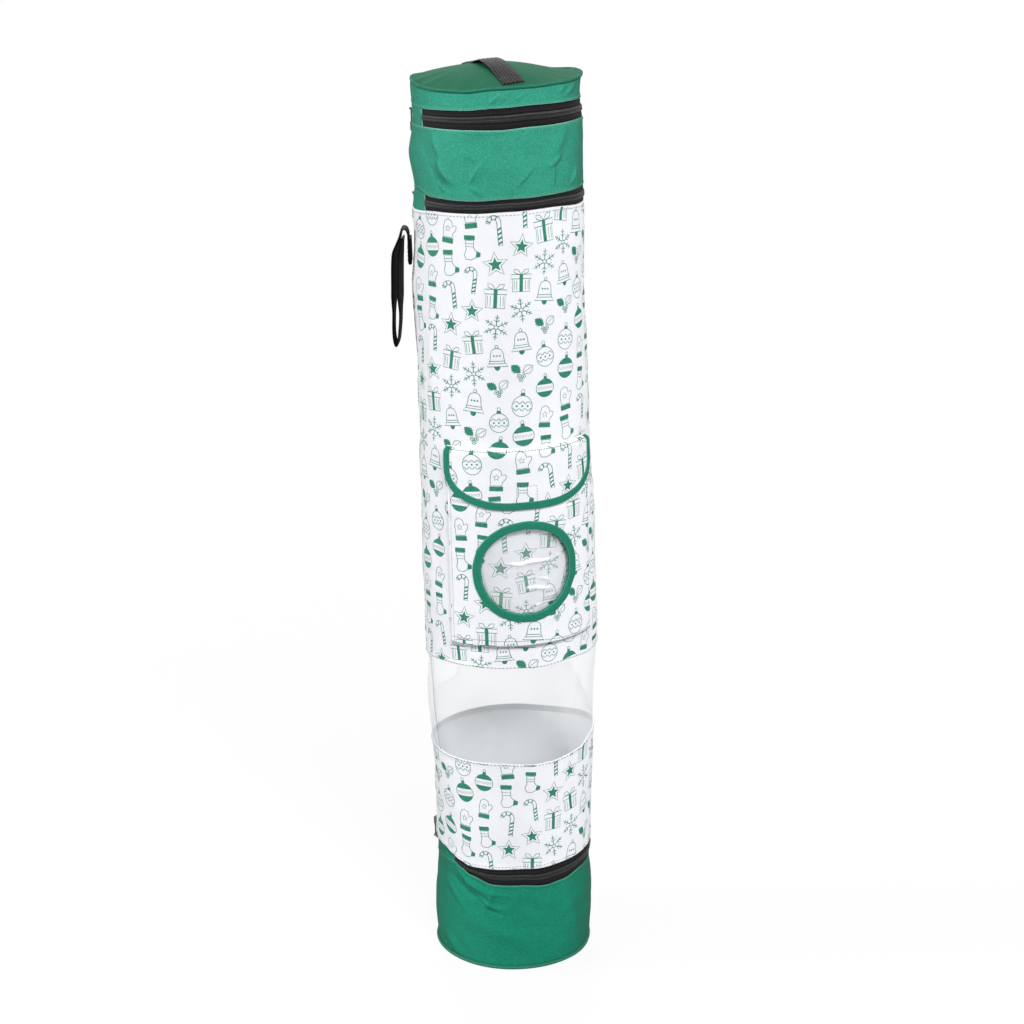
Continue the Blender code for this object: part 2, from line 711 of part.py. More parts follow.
def make_carry_loop(name, look, pivot):
    line = [Vector(point) for point in carry_line()]
    count = len(line)

    def place(column, row, side):
        along = (line[(column + 1) % count] - line[column - 1]).normalized()
        out, up = line[column] + Vector((-along.y, along.x)) * CARRY_THICKNESS * (side - 0.5)
        return carry_point(CARRY_WIDTH * (row - 0.5), CARRY_PIVOT_OUT + out, CARRY_PIVOT_HEIGHT + up)

    return make_object(name, sheet_mesh(name, count, 2, place, wrap=True), look, pivot)


def main():
    clear_scene()
    green = (0.02, 0.3, 0.17, 1.0, 0.8, 0.0)
    dark_green = (0.015, 0.22, 0.12, 1.0, 0.8, 0.0)
    printed = (0.85, 0.85, 0.87, 1.0, 0.8, 0.0)
    webbing = (0.012, 0.012, 0.013, 1.0, 0.7, 0.0)
    tape = (0.012, 0.012, 0.013, 1.0, 0.75, 0.0)
    coil = (0.014, 0.014, 0.015, 1.0, 0.4, 0.0)
    metal = (0.02, 0.02, 0.02, 1.0, 0.35, 1.0)
    clear = (0.85, 0.88, 0.9, 0.3, 0.1, 0.0)

    top_middle = (COMPARTMENT_HIGH + LID_LOW) / 2
    middle_middle = (PRINT_HIGH + COMPARTMENT_LOW) / 2
    bottom_middle = (CUP_HEIGHT + PRINT_LOW) / 2
    lid = make_pivot("lid_pivot", hinge_point(UPPER_TAB_ANGLE, top_middle))
    compartment = make_pivot("compartment_pivot", hinge_point(UPPER_TAB_ANGLE, middle_middle))
    cup = make_pivot("cup_pivot", hinge_point(BOTTOM_TAB_ANGLE, bottom_middle))
    flap = make_pivot("flap_pivot", on_flap(0, FLAP_FOLD, POCKET_FABRIC))
    carry = make_pivot("carry_pivot", carry_point(0, CARRY_PIVOT_OUT, CARRY_PIVOT_HEIGHT))

    # Bottom compartment
    make_disc("base_panel", 0, BASE_THICKNESS, dark_green, cup)
    make_wall("bottom_cup_wall", CUP_LIFT - SEAM_GAP / 2, CUP_HEIGHT, 4, green, cup)
    make_piping("base_piping", BASE_PIPING_HEIGHT, green, cup)

    # Long printed tube with its window band
    make_disc("tube_floor_panel", PRINT_LOW + SEAM_GAP, FABRIC, dark_green)
    make_wall("lower_print_panel", PRINT_LOW, WINDOW_LOW, 2, printed)
    make_wall("clear_window_band", WINDOW_LOW, WINDOW_HIGH, 2, clear)
    make_wall("upper_print_panel", WINDOW_HIGH, PRINT_HIGH, 5, printed)

    # Top compartment and lid
    make_disc("compartment_floor_panel", COMPARTMENT_LOW + SEAM_GAP, FABRIC, dark_green, compartment)
    make_wall("compartment_wall", COMPARTMENT_LOW, COMPARTMENT_HIGH, 2, green, compartment)
    make_wall("lid_side_band", LID_LOW, LID_HIGH, 1, green, lid)
    make_lid_panel("lid_panel", dark_green, lid)
    make_piping("lid_piping", LID_HIGH - LID_PIPING_DROP, green, lid)
    make_lid_strap("lid_grab_strap", webbing, lid)

    # Zips
    zips = [
        {"name": "top", "low": COMPARTMENT_HIGH, "middle": top_middle, "high": LID_LOW,
         "tab_angle": UPPER_TAB_ANGLE, "tab_span": UPPER_TAB_SPAN, "below": compartment,
         "above": lid, "tab_body": compartment, "tab_look": green, "pull_up": False},
        {"name": "middle", "low": PRINT_HIGH, "middle": middle_middle, "high": COMPARTMENT_LOW,
         "tab_angle": UPPER_TAB_ANGLE, "tab_span": UPPER_TAB_SPAN, "below": None,
         "above": compartment, "tab_body": None, "tab_look": green, "pull_up": False},
        {"name": "bottom", "low": CUP_HEIGHT, "middle": bottom_middle, "high": PRINT_LOW,
         "tab_angle": BOTTOM_TAB_ANGLE, "tab_span": BOTTOM_TAB_SPAN, "below": cup,
         "above": None, "tab_body": None, "tab_look": green, "pull_up": True},
    ]
    slider = slider_mesh()
    pull = pull_mesh()
    for zip_place in zips:
        make_zip(zip_place, tape, coil, metal, slider, pull)

    # Pocket, its round window and its flap
    make_pocket("pocket_panel", printed)
    make_window_film("pocket_window_film", clear)
    make_window_binding("pocket_window_binding", green)
    make_fastener("pocket_loop_patch", POCKET_OUTSIDE + SEAM_GAP, printed)
    hooks = POCKET_OUTSIDE + 2 * SEAM_GAP + FASTENER_THICKNESS
    make_fastener("flap_hook_patch", hooks, printed, flap)
    make_flap_seam("flap_seam_strip", printed)
    make_flap("pocket_flap", printed, flap)
    make_flap_binding("flap_binding", green, flap)

    # Carry strap
    make_carry_end("carry_strap_end", webbing)
    make_carry_loop("carry_strap_loop", webbing, carry)


main()
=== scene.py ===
"""Looks of the gift wrap organizer: soft fabric, print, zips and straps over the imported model.

Every surface is a function of an angle round the tube, a height and an offset outwards, so
that layers, seams and the motifs printed on them all follow the same folds.
Metres, +Z up, in the part's own frame. Angles run from 0 at the front towards +X.
"""

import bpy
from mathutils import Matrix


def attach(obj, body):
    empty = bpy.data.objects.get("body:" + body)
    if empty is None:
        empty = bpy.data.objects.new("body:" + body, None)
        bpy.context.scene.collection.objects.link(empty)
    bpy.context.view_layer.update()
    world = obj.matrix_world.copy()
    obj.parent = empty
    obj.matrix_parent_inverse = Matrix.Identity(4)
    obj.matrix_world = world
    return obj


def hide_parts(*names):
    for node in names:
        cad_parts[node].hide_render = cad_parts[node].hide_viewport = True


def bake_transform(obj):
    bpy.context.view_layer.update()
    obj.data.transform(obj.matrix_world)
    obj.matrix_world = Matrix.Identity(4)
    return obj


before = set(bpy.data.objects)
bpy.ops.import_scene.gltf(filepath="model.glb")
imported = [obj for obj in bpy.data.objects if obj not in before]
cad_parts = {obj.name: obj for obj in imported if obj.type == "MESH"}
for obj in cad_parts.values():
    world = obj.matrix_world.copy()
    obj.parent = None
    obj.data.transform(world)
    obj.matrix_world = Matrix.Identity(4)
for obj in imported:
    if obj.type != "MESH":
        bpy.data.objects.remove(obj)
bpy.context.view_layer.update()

import math
from contextlib import contextmanager

import bmesh
import bpy
import numpy as np
from mathutils import Matrix, Vector

# The tube and its bands, as in the CAD
TUBE_RADIUS = 0.085
PRINT_SWELL = 0.0045
COMPARTMENT_SWELL = 0.001
CUP_SWELL = 0.0008
GAP = 0.0003
CUP_LOW = 0.0004
CUP_HIGH = 0.1002
PRINT_LOW = 0.1194
WINDOW_LOW = 0.2410
WINDOW_HIGH = 0.3445
PRINT_HIGH = 0.8195
COMPARTMENT_LOW = 0.8345
COMPARTMENT_HIGH = 0.9019
LID_LOW = 0.9211
LID_HIGH = 0.9445
DOME_CROWN = 0.0138
DOME_LIP = 0.9
DISC_RADIUS = 0.0832
PIPING_RADIUS = 0.0011
BASE_PIPING = 0.0021
LID_PIPING = 0.9435
DOME_RADIUS = 0.0834
DOME_CLOTH = 0.001

# Visual cloth
CLOTH = 0.0008
HEM_STITCHES = 0.0028
LINING_GAP = 0.0002
FILM = 0.0003
FILM_UNDER = 0.007
WALL_STEP = 0.0026
FINE_STEP = 0.0013
ARC_FULL = 2 * math.pi * TUBE_RADIUS
SAME_POINT = 0.000002

# Zips: where each one lies, the angle and span of its hinge tab, and what it joins
ZIPS = (
    ("top", COMPARTMENT_HIGH, LID_LOW, -96, 46, "upper_compartment", "lid"),
    ("middle", PRINT_HIGH, COMPARTMENT_LOW, -96, 46, "main_tube", "upper_compartment"),
    ("bottom", CUP_HIGH, PRINT_LOW, -90.5, 57, "bottom_cup", "main_tube"),
)
# How far up each tab its bend lies, at the tab's back end and at its front end
TAB_BEND_SHARES = {"top": (0.5, 0.5), "middle": (0.5, 0.5), "bottom": (0.24, 0.5)}
TAPE_SET_BACK = 0.0003
TAPE_THICKNESS = 0.0008
COIL_HEIGHT = 0.0013
COIL_WIDTH = 0.003
SPLIT_GAP = 0.0004
TOOTH_PITCH = 0.0015
TOOTH_SLANT = 0.0006

# Pocket, its round window and its flap
POCKET_WIDTH = 0.1664
POCKET_LOW = 0.3733
POCKET_HIGH = 0.5645
POCKET_DEPTH = 0.0055
POCKET_BULGE = 0.0025
POCKET_ROUND = 0.0016
POCKET_CLOTH = 0.001
PANEL_RADIUS = TUBE_RADIUS + 0.007
RING_CENTRE = 0.4545
RING_INNER = 0.0453
RING_WIDTH = 0.0087
RING_MIDDLE = RING_INNER + RING_WIDTH / 2
RING_THICKNESS = 0.001
# How far the print on the pocket and on the flap is moved across and up
POCKET_PRINT = (0.006, 0.011)
FLAP_PRINT = (-0.004, 0.0045)
# The pocket's two bottom rows of stitches: places across and heights
POCKET_HEM_LINES = (
    ((-0.0812, 0.3811), (-0.058, 0.3813), (0, 0.3795), (0.042, 0.3767), (0.0812, 0.3768)),
    ((-0.0812, 0.3754), (-0.043, 0.3750), (0.008, 0.3748), (0.042, 0.3748), (0.0812, 0.3750)),
)
# Folds of the window's film by their ends, across and up: width and height. Each fold also carries a painted
# glint.
FILM_FOLDS = (
    ((-0.036, 0.4600), (0.050, 0.4655), 0.0052, 0.0025),
    ((-0.010, 0.4355), (0.036, 0.4325), 0.0044, 0.0022),
    ((0.012, 0.4460), (0.026, 0.4430), 0.0022, 0.0010),
    ((0.002, 0.4150), (0.022, 0.4180), 0.0026, 0.0012),
)
FLAP_HIGH = 0.5845
FLAP_FOLD = 0.5775
FLAP_LOW = 0.5220
FLAP_SIDE_LOW = 0.5595
FLAP_HALF = 0.0852
FLAP_LEVEL = FLAP_HALF * 0.2
FLAP_INSIDE = 0.0058
FLAP_BULGE = 0.0041
FLAP_CLOTH = 0.001
FLAP_BINDING = 0.0078
FASTENER_SIZE = 0.0195
FASTENER_HEIGHT = 0.5365

# Straps
GRAB_WIDTH = 0.023
GRAB_THICKNESS = 0.0014
GRAB_HALF = 0.076
GRAB_FOOT = 0.011
GRAB_ARCH = 0.0034
GRAB_TOP = -0.012
GRAB_OFF = 0.0002
GRAB_SIDEWAYS = -0.01
GRAB_TURN = math.radians(6.5)
GRAB_BEND = 1.6
CARRY_ANGLE = math.radians(-103)
CARRY_WIDTH = 0.025
CARRY_THICKNESS = 0.002
CARRY_TWIST = math.radians(13)
# The carry strap's middle line from its sewn end: out from the wall, and height
CARRY_LINE = (
    (0.0014, 0.7860), (0.0013, 0.7720), (0.0013, 0.7620), (0.0023, 0.7602), (0.0033, 0.7620),
    (0.0033, 0.7720), (0.0033, 0.7840), (0.0036, 0.7905), (0.0052, 0.7945), (0.0080, 0.7955),
    (0.0102, 0.7930), (0.0118, 0.7870), (0.0148, 0.7785), (0.0173, 0.7710), (0.0186, 0.7570),
    (0.0193, 0.7350), (0.0204, 0.7130), (0.0213, 0.6920), (0.0206, 0.6800), (0.0186, 0.6755),
    (0.0165, 0.6810), (0.0150, 0.6920), (0.0138, 0.7060), (0.0133, 0.7350),
    (0.0124, 0.7600), (0.0117, 0.7710), (0.0104, 0.7800), (0.0088, 0.7860),
)

# The photograph's camera
CAMERA_PLACE = (-0.5026, -2.0935, 1.1625)
CAMERA_YAW = math.radians(13.66)
CAMERA_PITCH = math.radians(17.30)
CAMERA_ROLL = math.radians(-1.22)
FOCAL_PIXELS = 2143.1
IMAGE_SIZE = 1024
SENSOR = 36.0

# Where the clear band's overlap meets its two seams, in the photograph's pixels
FILM_SEAM_TOP = (434, 658)
FILM_SEAM_FOOT = (442.5, 735)

# Stage and lamps: place, size and power
WORLD_LIGHT = 0.22
FLOOR_HALF = 40.0
FLOOR_SHADE = 0.4
FLOOR_WHITE = 0.97
FLOOR_GLOW = 0.88
LAMP_TARGET = (0, 0, 0.5)
LAMPS = (
    ("key_softbox", (0.25, -4.8, 4.05), (3.6, 1.4), 300),
    ("right_softbox", (5.0, -1.4, 2.0), (2.0, 2.0), 30),
    ("left_softbox", (-5.0, 1.2, 1.8), (2.0, 2.0), 175),
    ("back_softbox", (1.0, 5.4, 3.4), (2.4, 2.4), 150),
)

# Soft bulges of the tube: angle, half width in degrees, height, half height, how far out
BULGES = (
    (84, 50, 0.470, 0.120, 0.0040),
    (84, 50, 0.355, 0.110, 0.0066),
    (84, 45, 0.240, 0.100, 0.0030),
    (-101, 40, 0.285, 0.050, 0.0022),
    (-101, 30, 0.215, 0.040, -0.0018),
    (80, 50, 0.000, 0.045, -0.0042),
    (80, 40, 0.925, 0.030, -0.0026),
    (-101, 40, 0.165, 0.070, -0.0026),
    (-101, 34, 0.8695, 0.032, 0.0034),
    (80, 30, 0.8695, 0.032, -0.0012),
    (-101, 30, 0.8145, 0.025, 0.0022),
    (-103, 36, 0.735, 0.080, 0.0037),
    (84, 40, 0.735, 0.075, -0.0022),
    (-101, 45, 0.030, 0.045, 0.0022),
    (-92, 27, 0.097, 0.036, -0.0045),
    (80, 36, 0.097, 0.032, -0.0028),
)

# How far each seam wanders up from its level height: pairs of angle and rise
SEAM_RISES = (
    (0.0, ((-100, 0.0), (90, 0.0))),
    (CUP_HIGH, ((-130, 0.0), (-62, 0.0165), (-55, 0.0122), (-47.5, 0.0070), (-28, 0.0), (-9, 0.0),
                (10, -0.0033), (24, -0.0021), (44, 0.0015), (80, 0.0))),
    (PRINT_LOW, ((-140, 0.0), (-100, 0.003), (-82, 0.0072), (-74, 0.0085), (-65, 0.0052), (-57, 0.0012),
                 (-47, -0.002), (-33, -0.0014), (-9, 0.0), (6, -0.0016), (25, -0.0006), (60, 0.0))),
    (WINDOW_LOW, ((-140, 0.0), (-94, 0.003), (-78, 0.0015), (-60, 0.0), (-20, 0.0), (4, -0.003),
                  (18, -0.0026), (31, -0.001), (44, 0.0004), (60, 0.0072), (76, 0.0122), (150, 0.0))),
    (WINDOW_HIGH, ((-110, 0.0), (-93, -0.0018), (-61, 0.0029), (-36, 0.0034), (-14, 0.0023),
                   (11, 0.0008), (29, 0.0022), (50, 0.0002), (62, 0.0008), (76, 0.0032), (140, 0.0))),
    (0.372, ((-110, 0.0), (90, 0.0))),
    (0.790, ((-110, 0.0), (90, 0.0))),
    (PRINT_HIGH, ((-110, 0.0), (-90, -0.002), (-57, 0.0008), (-33, 0.0012), (-7, 0.003), (22, 0.0042),
                  (57, 0.0014), (90, 0.0))),
    (COMPARTMENT_LOW, ((-106, 0.0), (-87, 0.004), (-65, -0.0011), (-35, -0.0019), (-2, 0.0004),
                       (38, 0.0017), (61, 0.0019), (95, 0.0))),
    (COMPARTMENT_HIGH, ((-100, 0.0), (-37, -0.0004), (-14, -0.0005), (10, 0.0016), (57, 0.0027),
                        (95, 0.0))),
    (LID_LOW, ((-100, 0.0), (-73, -0.0024), (-37, -0.0015), (-14, 0.0009), (11, 0.0027), (48, 0.0025),
               (90, 0.0))),
    (LID_HIGH, ((-140, 0.0), (-106, 0.0014), (-95, -0.0006), (-78, -0.0038), (-53, -0.0057), (-35, -0.0060),
                (-14, -0.0030), (6, -0.0022), (36, -0.0008), (62, 0.0010), (76, 0.0028), (95, 0.0028),
                (130, 0.0))),
)

# Creases by their ends in the photograph's pixels: width and height in metres
CREASES = (
    ((436, 156), (457, 187), 0.0032, 0.0050),
    ((431, 165), (449, 190), 0.0028, -0.0036),
    ((437, 176), (447, 192), 0.0020, 0.0026),
    ((461, 150), (478, 162), 0.0021, 0.0019),
    ((483, 160), (467, 185), 0.0020, 0.0026),
    ((468, 183), (484, 196), 0.0019, 0.0024),
    ((538, 162), (511, 192), 0.0021, 0.0027),
    ((561, 156), (546, 170), 0.0028, 0.0034),
    ((553, 166), (553, 190), 0.0020, 0.0023),
    ((575, 168), (570, 188), 0.0021, 0.0024),
    ((430, 129), (448, 169), 0.0036, 0.0022),
    ((566, 126), (547, 168), 0.0075, 0.0030),
    ((506, 145), (514, 190), 0.0110, 0.0020),
    ((470, 130), (483, 162), 0.0100, -0.0018),
    ((504, 89), (486, 107), 0.0024, 0.0020),
    ((511, 90), (494, 108), 0.0022, 0.0016),
    ((526, 91), (514, 102), 0.0022, 0.0016),
    ((576, 83), (563, 98), 0.0026, 0.0020),
    ((566, 84), (556, 96), 0.0022, 0.0014),
    ((440, 100), (452, 106), 0.0022, 0.0012),
    ((449, 871), (503, 902), 0.0034, 0.0030),
    ((448, 881), (497, 909), 0.0034, -0.0026),
    ((468, 886), (514, 897), 0.0024, 0.0022),
    ((474, 899), (508, 911), 0.0024, 0.0021),
    ((478, 906), (510, 917), 0.0022, -0.0016),
    ((498, 878), (482, 922), 0.0030, 0.0016),
    ((446, 884), (466, 915), 0.0034, 0.0018),
    ((448, 857), (448, 869), 0.0022, -0.0034),
    ((528, 884), (500, 918), 0.0050, 0.0014),
    ((466, 920), (534, 938), 0.0090, 0.0018),
    ((562, 880), (580, 940), 0.0070, 0.0016),
    ((500, 930), (566, 918), 0.0080, -0.0012),
    ((446, 930), (462, 955), 0.0060, 0.0014),
    ((432, 300), (436, 420), 0.0060, 0.0011),
    ((586, 250), (588, 420), 0.0050, -0.0012),
    ((440, 480), (444, 620), 0.0060, -0.0012),
    ((520, 225), (500, 300), 0.0120, 0.0008),
    ((455, 790), (470, 850), 0.0070, 0.0009),
    ((570, 780), (560, 840), 0.0080, -0.0008),
)

# Colours, as they look
GREEN = (54, 159, 133)
GREEN_PALE = (140, 200, 178)
GREEN_CUP = (21, 141, 112)
GREEN_CUP_PALE = (84, 160, 134)
# The lid top's green is darker than the wall's partly as painted shade, since the top takes less light.
GREEN_LID = (36, 108, 79)
GREEN_LINING = (30, 98, 76)
GREEN_BINDING = (35, 130, 104)
PRINT_WHITE = (244, 245, 250)
PRINT_PALE = (250, 250, 252)
PRINT_LINING = (245, 246, 249)
INK = (38, 124, 98)
THREAD_DARK = (24, 92, 72)
THREAD_PALE = (96, 178, 154)
THREAD_GREY = (150, 160, 166)


def linear(colour):
    """A colour as it looks, turned into the shader's linear values."""
    shares = [value / 255 for value in colour]
    values = [s / 12.92 if s <= 0.04045 else ((s + 0.055) / 1.055) ** 2.4 for s in shares]
    return (*values, 1.0)


def camera_axes():
    """The camera's right, up and forward directions."""
    ahead = np.array((
        math.sin(CAMERA_YAW) * math.cos(CAMERA_PITCH), math.cos(CAMERA_YAW) * math.cos(CAMERA_PITCH),
        -math.sin(CAMERA_PITCH)))
    level = np.array((math.cos(CAMERA_YAW), -math.sin(CAMERA_YAW), 0.0))
    above = np.cross(level, ahead)
    right = math.cos(CAMERA_ROLL) * level + math.sin(CAMERA_ROLL) * above
    up = -math.sin(CAMERA_ROLL) * level + math.cos(CAMERA_ROLL) * above
    return right, up, ahead


def tube_place(pixel):
    """The arc and height where a pixel of the photograph meets the front of the tube."""
    right, up, ahead = camera_axes()
    from_middle = (np.array(pixel, float) - IMAGE_SIZE / 2) / FOCAL_PIXELS
    way = ahead + right * from_middle[0] - up * from_middle[1]
    start = np.array(CAMERA_PLACE)
    a = way[0] ** 2 + way[1] ** 2
    b = start[0] * way[0] + start[1] * way[1]
    c = start[0] ** 2 + start[1] ** 2 - TUBE_RADIUS ** 2
    far = (-b - math.sqrt(max(b * b - a * c, 0.0))) / a
    point = start + way * far
    return math.atan2(point[0], -point[1]) * TUBE_RADIUS, point[2]


def bump(distance, half):
    """1 at no distance, falling smoothly to 0 at half and beyond."""
    share = np.clip(np.abs(distance) / half, 0, 1)
    return np.cos(share * math.pi / 2) ** 2


def smooth(value, low, high):
    share = np.clip((value - low) / (high - low), 0, 1)
    return share * share * (3 - 2 * share)


def in_turn(degrees):
    return (degrees + 180) % 360 - 180


def joined(*grids):
    """Grids of numbers joined into one grid of points."""
    return np.stack(np.broadcast_arrays(*grids), axis=-1)


def unit(ways):
    return ways / np.linalg.norm(ways, axis=1, keepdims=True)


def run_along(line):
    """How far along a line each of its points lies."""
    return np.concatenate([[0], np.cumsum(np.linalg.norm(np.diff(line, axis=0), axis=1))])


def add_thing(name, data):
    thing = bpy.data.objects.new(name, data)
    bpy.context.scene.collection.objects.link(thing)
    return thing


@contextmanager
def editing(mesh):
    """A mesh's faces and edges, opened for a change."""
    work = bmesh.new()
    work.from_mesh(mesh)
    yield work
    work.to_mesh(mesh)
    work.free()


def spread(low, high, step):
    return np.linspace(low, high, max(2, round((high - low) / step)) + 1)


def smooth_line(pairs, where):
    """A smooth curve through pairs of position and value, level beyond its ends."""
    places, values = (np.array(column, float) for column in zip(*pairs))
    index = np.interp(where, places, np.arange(len(places)))
    before = np.minimum(np.floor(index).astype(int), len(places) - 2)
    share = smooth(index - before, 0, 1)
    return values[before] * (1 - share) + values[before + 1] * share


def rise_at(theta, height):
    """How far the fabric at an angle and height lies above its level place."""
    degrees = in_turn(np.degrees(theta))
    levels = [level for level, pairs in SEAM_RISES]
    index = np.interp(height, levels, np.arange(len(levels)))
    total = np.zeros(np.broadcast(degrees, height).shape)
    for number, (level, pairs) in enumerate(SEAM_RISES):
        total = total + smooth_line(pairs, degrees) * np.clip(1 - np.abs(index - number), 0, 1)
    return total


def swell_at(height):
    """How much wider and deeper than a circle the tube is at a height."""
    printed = (height > PRINT_LOW) & (height < PRINT_HIGH)
    along = np.clip((height - PRINT_LOW) / (PRINT_HIGH - PRINT_LOW), 0, 1)
    across = np.where(printed, PRINT_SWELL * np.sin(math.pi * along), 0.0)
    deep = -across
    for low, high, swell in ((COMPARTMENT_LOW, COMPARTMENT_HIGH, COMPARTMENT_SWELL),
                             (0.0, CUP_HIGH, CUP_SWELL)):
        inside = (height > low) & (height < high)
        along = np.clip((height - low) / (high - low), 0, 1)
        extra = np.where(inside, swell * np.sin(math.pi * along), 0.0)
        across = across + extra
        deep = deep + extra
    return across, deep


def bulge_out(theta, height):
    degrees = np.degrees(theta)
    total = 0.0
    for angle, wide, middle, tall, out in BULGES:
        total = total + out * bump(in_turn(degrees - angle), wide) * bump(height - middle, tall)
    return total


def make_waves(seed, size, count=14):
    """Seeded waves of about one length that close up round the tube."""
    dice = np.random.default_rng(seed)
    waves = []
    for number in range(count):
        way = dice.uniform(0, math.pi)
        length = size * dice.uniform(0.7, 1.6)
        round_tube = round(ARC_FULL / length * math.cos(way))
        upwards = 2 * math.pi / length * math.sin(way)
        waves.append((round_tube, upwards, dice.uniform(0, 2 * math.pi)))
    return waves


WIDE_WAVES = make_waves(3, 0.075)
FINE_WAVES = make_waves(8, 0.024)


def ripple(theta, height, waves):
    total = 0.0
    for round_tube, upwards, start in waves:
        total = total + np.sin(round_tube * theta + upwards * height + start)
    return total / math.sqrt(len(waves))


CREASE_LINES = [(np.array(tube_place(first)), np.array(tube_place(last)), width, tall)
                for first, last, width, tall in CREASES]


def crease_out(theta, height):
    """Folds along straight lines on the fabric, each fading towards its ends."""
    arc = in_turn(np.degrees(theta)) * math.pi / 180 * TUBE_RADIUS
    total = 0.0
    for start, end, width, tall in CREASE_LINES:
        way = end - start
        length = math.hypot(*way)
        way = way / length
        along = (arc - start[0]) * way[0] + (height - start[1]) * way[1]
        away = (arc - start[0]) * way[1] - (height - start[1]) * way[0]
        taper = bump(along - length / 2, length / 2 + width)
        total = total + tall * np.exp(-(away / width) ** 2) * taper
    return total


def seam_calm(height):
    """0 at the zips' seams and the ends, and 1 from a little way off them."""
    calm = 1.0
    for level in (0.0, CUP_HIGH, PRINT_LOW, PRINT_HIGH, COMPARTMENT_LOW, COMPARTMENT_HIGH, LID_LOW, LID_HIGH):
        calm = calm * (0.2 + 0.8 * smooth(np.abs(height - level), 0.0005, 0.007))
    return calm


def folds_out(theta, height):
    """Creases and soft waves of the fabric."""
    green = (height < CUP_HIGH) | (height > PRINT_HIGH)
    wide = np.where(green, 0.00055, 0.0005)
    fine = np.where(green, 0.00022, 0.00014)
    waves = wide * ripple(theta, height, WIDE_WAVES) + fine * ripple(theta, height, FINE_WAVES)
    return (waves + crease_out(theta, height)) * seam_calm(height)


def skin(theta, height, offset, folds=1.0):
    """Points that lie offset outside the fabric's surface."""
    theta, height, offset = np.broadcast_arrays(
        np.asarray(theta, float), np.asarray(height, float), np.asarray(offset, float))
    across, deep = swell_at(height)
    out = offset + bulge_out(theta, height) + folds * folds_out(theta, height)
    wide = TUBE_RADIUS + across + out
    thick = TUBE_RADIUS + deep + out
    up = height + rise_at(theta, height)
    return joined(wide * np.sin(theta), -thick * np.cos(theta), up)


def pocket_out(arc, bulge):
    return bulge * np.clip(1 - (2 * arc / POCKET_WIDTH) ** 2, 0, None)


def panel(arc, height, offset):
    """Points outside the pocket's bulging panel, from an arc measured round it."""
    ripples = 0.00025 * ripple(arc / PANEL_RADIUS + 2, height, FINE_WAVES)
    return skin(arc / PANEL_RADIUS, height, offset + pocket_out(arc, POCKET_BULGE) + ripples, 0.4)


def flap_skin(arc, height, offset):
    """Points outside the flap's inner face: sewn to the wall at the top, then over a fold."""
    hung = FLAP_INSIDE + pocket_out(arc, FLAP_BULGE)
    share = 1 - (1 - np.clip((FLAP_HIGH - height) / (FLAP_HIGH - FLAP_FOLD), 0, 1)) ** 3
    ripples = 0.0002 * ripple(arc / PANEL_RADIUS + 1, height, FINE_WAVES) * share
    out = GAP + (hung - GAP) * share + ripples
    return skin(arc / PANEL_RADIUS, height, out + offset, 0.4)


class Cloth:
    """A mesh made of grids of points, each with its place on the flat cloth in metres."""

    def __init__(self):
        self.points = []
        self.faces = []
        self.flat = []
        self.slots = []
        self.marks = []
        self.count = 0

    def grid(self, points, flat, slot=0, flip=False, keep=None, mark=0.0):
        rows, columns = points.shape[:2]
        index = np.arange(rows * columns).reshape(rows, columns)
        corners = np.stack([index[:-1, :-1], index[:-1, 1:], index[1:, 1:], index[1:, :-1]], axis=-1)
        corners = corners.reshape(-1, 4)
        if keep is not None:
            corners = corners[keep.reshape(-1)]
        if flip:
            corners = corners[:, ::-1]
        self.points.append(points.reshape(-1, 3))
        self.flat.append(flat.reshape(-1, 2)[corners].reshape(-1, 2))
        self.faces.append(corners + self.count)
        self.slots.append(np.full(len(corners), slot))
        self.marks.append(np.broadcast_to(mark, (rows, columns)).reshape(-1))
        self.count += rows * columns

    def shell(self, outer, inner, flat, slot=0, inner_slot=None, ring=False, keep=None, mark=0.0):
        """A closed sheet between two grids; a ring is open only at its top and bottom."""
        inner_slot = slot if inner_slot is None else inner_slot
        self.grid(outer, flat, slot, keep=keep, mark=mark)
        self.grid(inner, flat, inner_slot, flip=True, keep=keep, mark=mark)
        mark = np.broadcast_to(mark, outer.shape[:2])
        edges = [(slice(0, 1), slice(None), True), (slice(-1, None), slice(None), False)]
        if not ring:
            edges += [(slice(None), slice(0, 1), False), (slice(None), slice(-1, None), True)]
        for rows, columns, flip in edges:
            pair = [grid[rows, columns].reshape(-1, grid.shape[-1]) for grid in (outer, inner)]
            places = flat[rows, columns].reshape(-1, 2)
            marks = mark[rows, columns].reshape(-1)
            self.grid(np.stack(pair), np.stack([places, places]), slot, flip, mark=np.stack([marks, marks]))
        return self

    def make(self, name, looks, sharp=50):
        mesh = bpy.data.meshes.new(name)
        faces = np.concatenate(self.faces)
        mesh.from_pydata(np.concatenate(self.points).tolist(), [], faces.tolist())
        layer = mesh.uv_layers.new(name="weave")
        layer.data.foreach_set("uv", np.concatenate(self.flat).astype(np.float32).reshape(-1))
        mesh.polygons.foreach_set("material_index", np.concatenate(self.slots).astype(np.int32))
        edge = mesh.attributes.new("edge", "FLOAT", "POINT")
        edge.data.foreach_set("value", np.concatenate(self.marks).astype(np.float32))
        with editing(mesh) as work:
            bmesh.ops.remove_doubles(work, verts=work.verts, dist=SAME_POINT)
        mesh.shade_smooth()
        mesh.set_sharp_from_angle(angle=math.radians(sharp))
        for look in looks:
            mesh.materials.append(LOOKS[look])
        return add_thing(name, mesh)


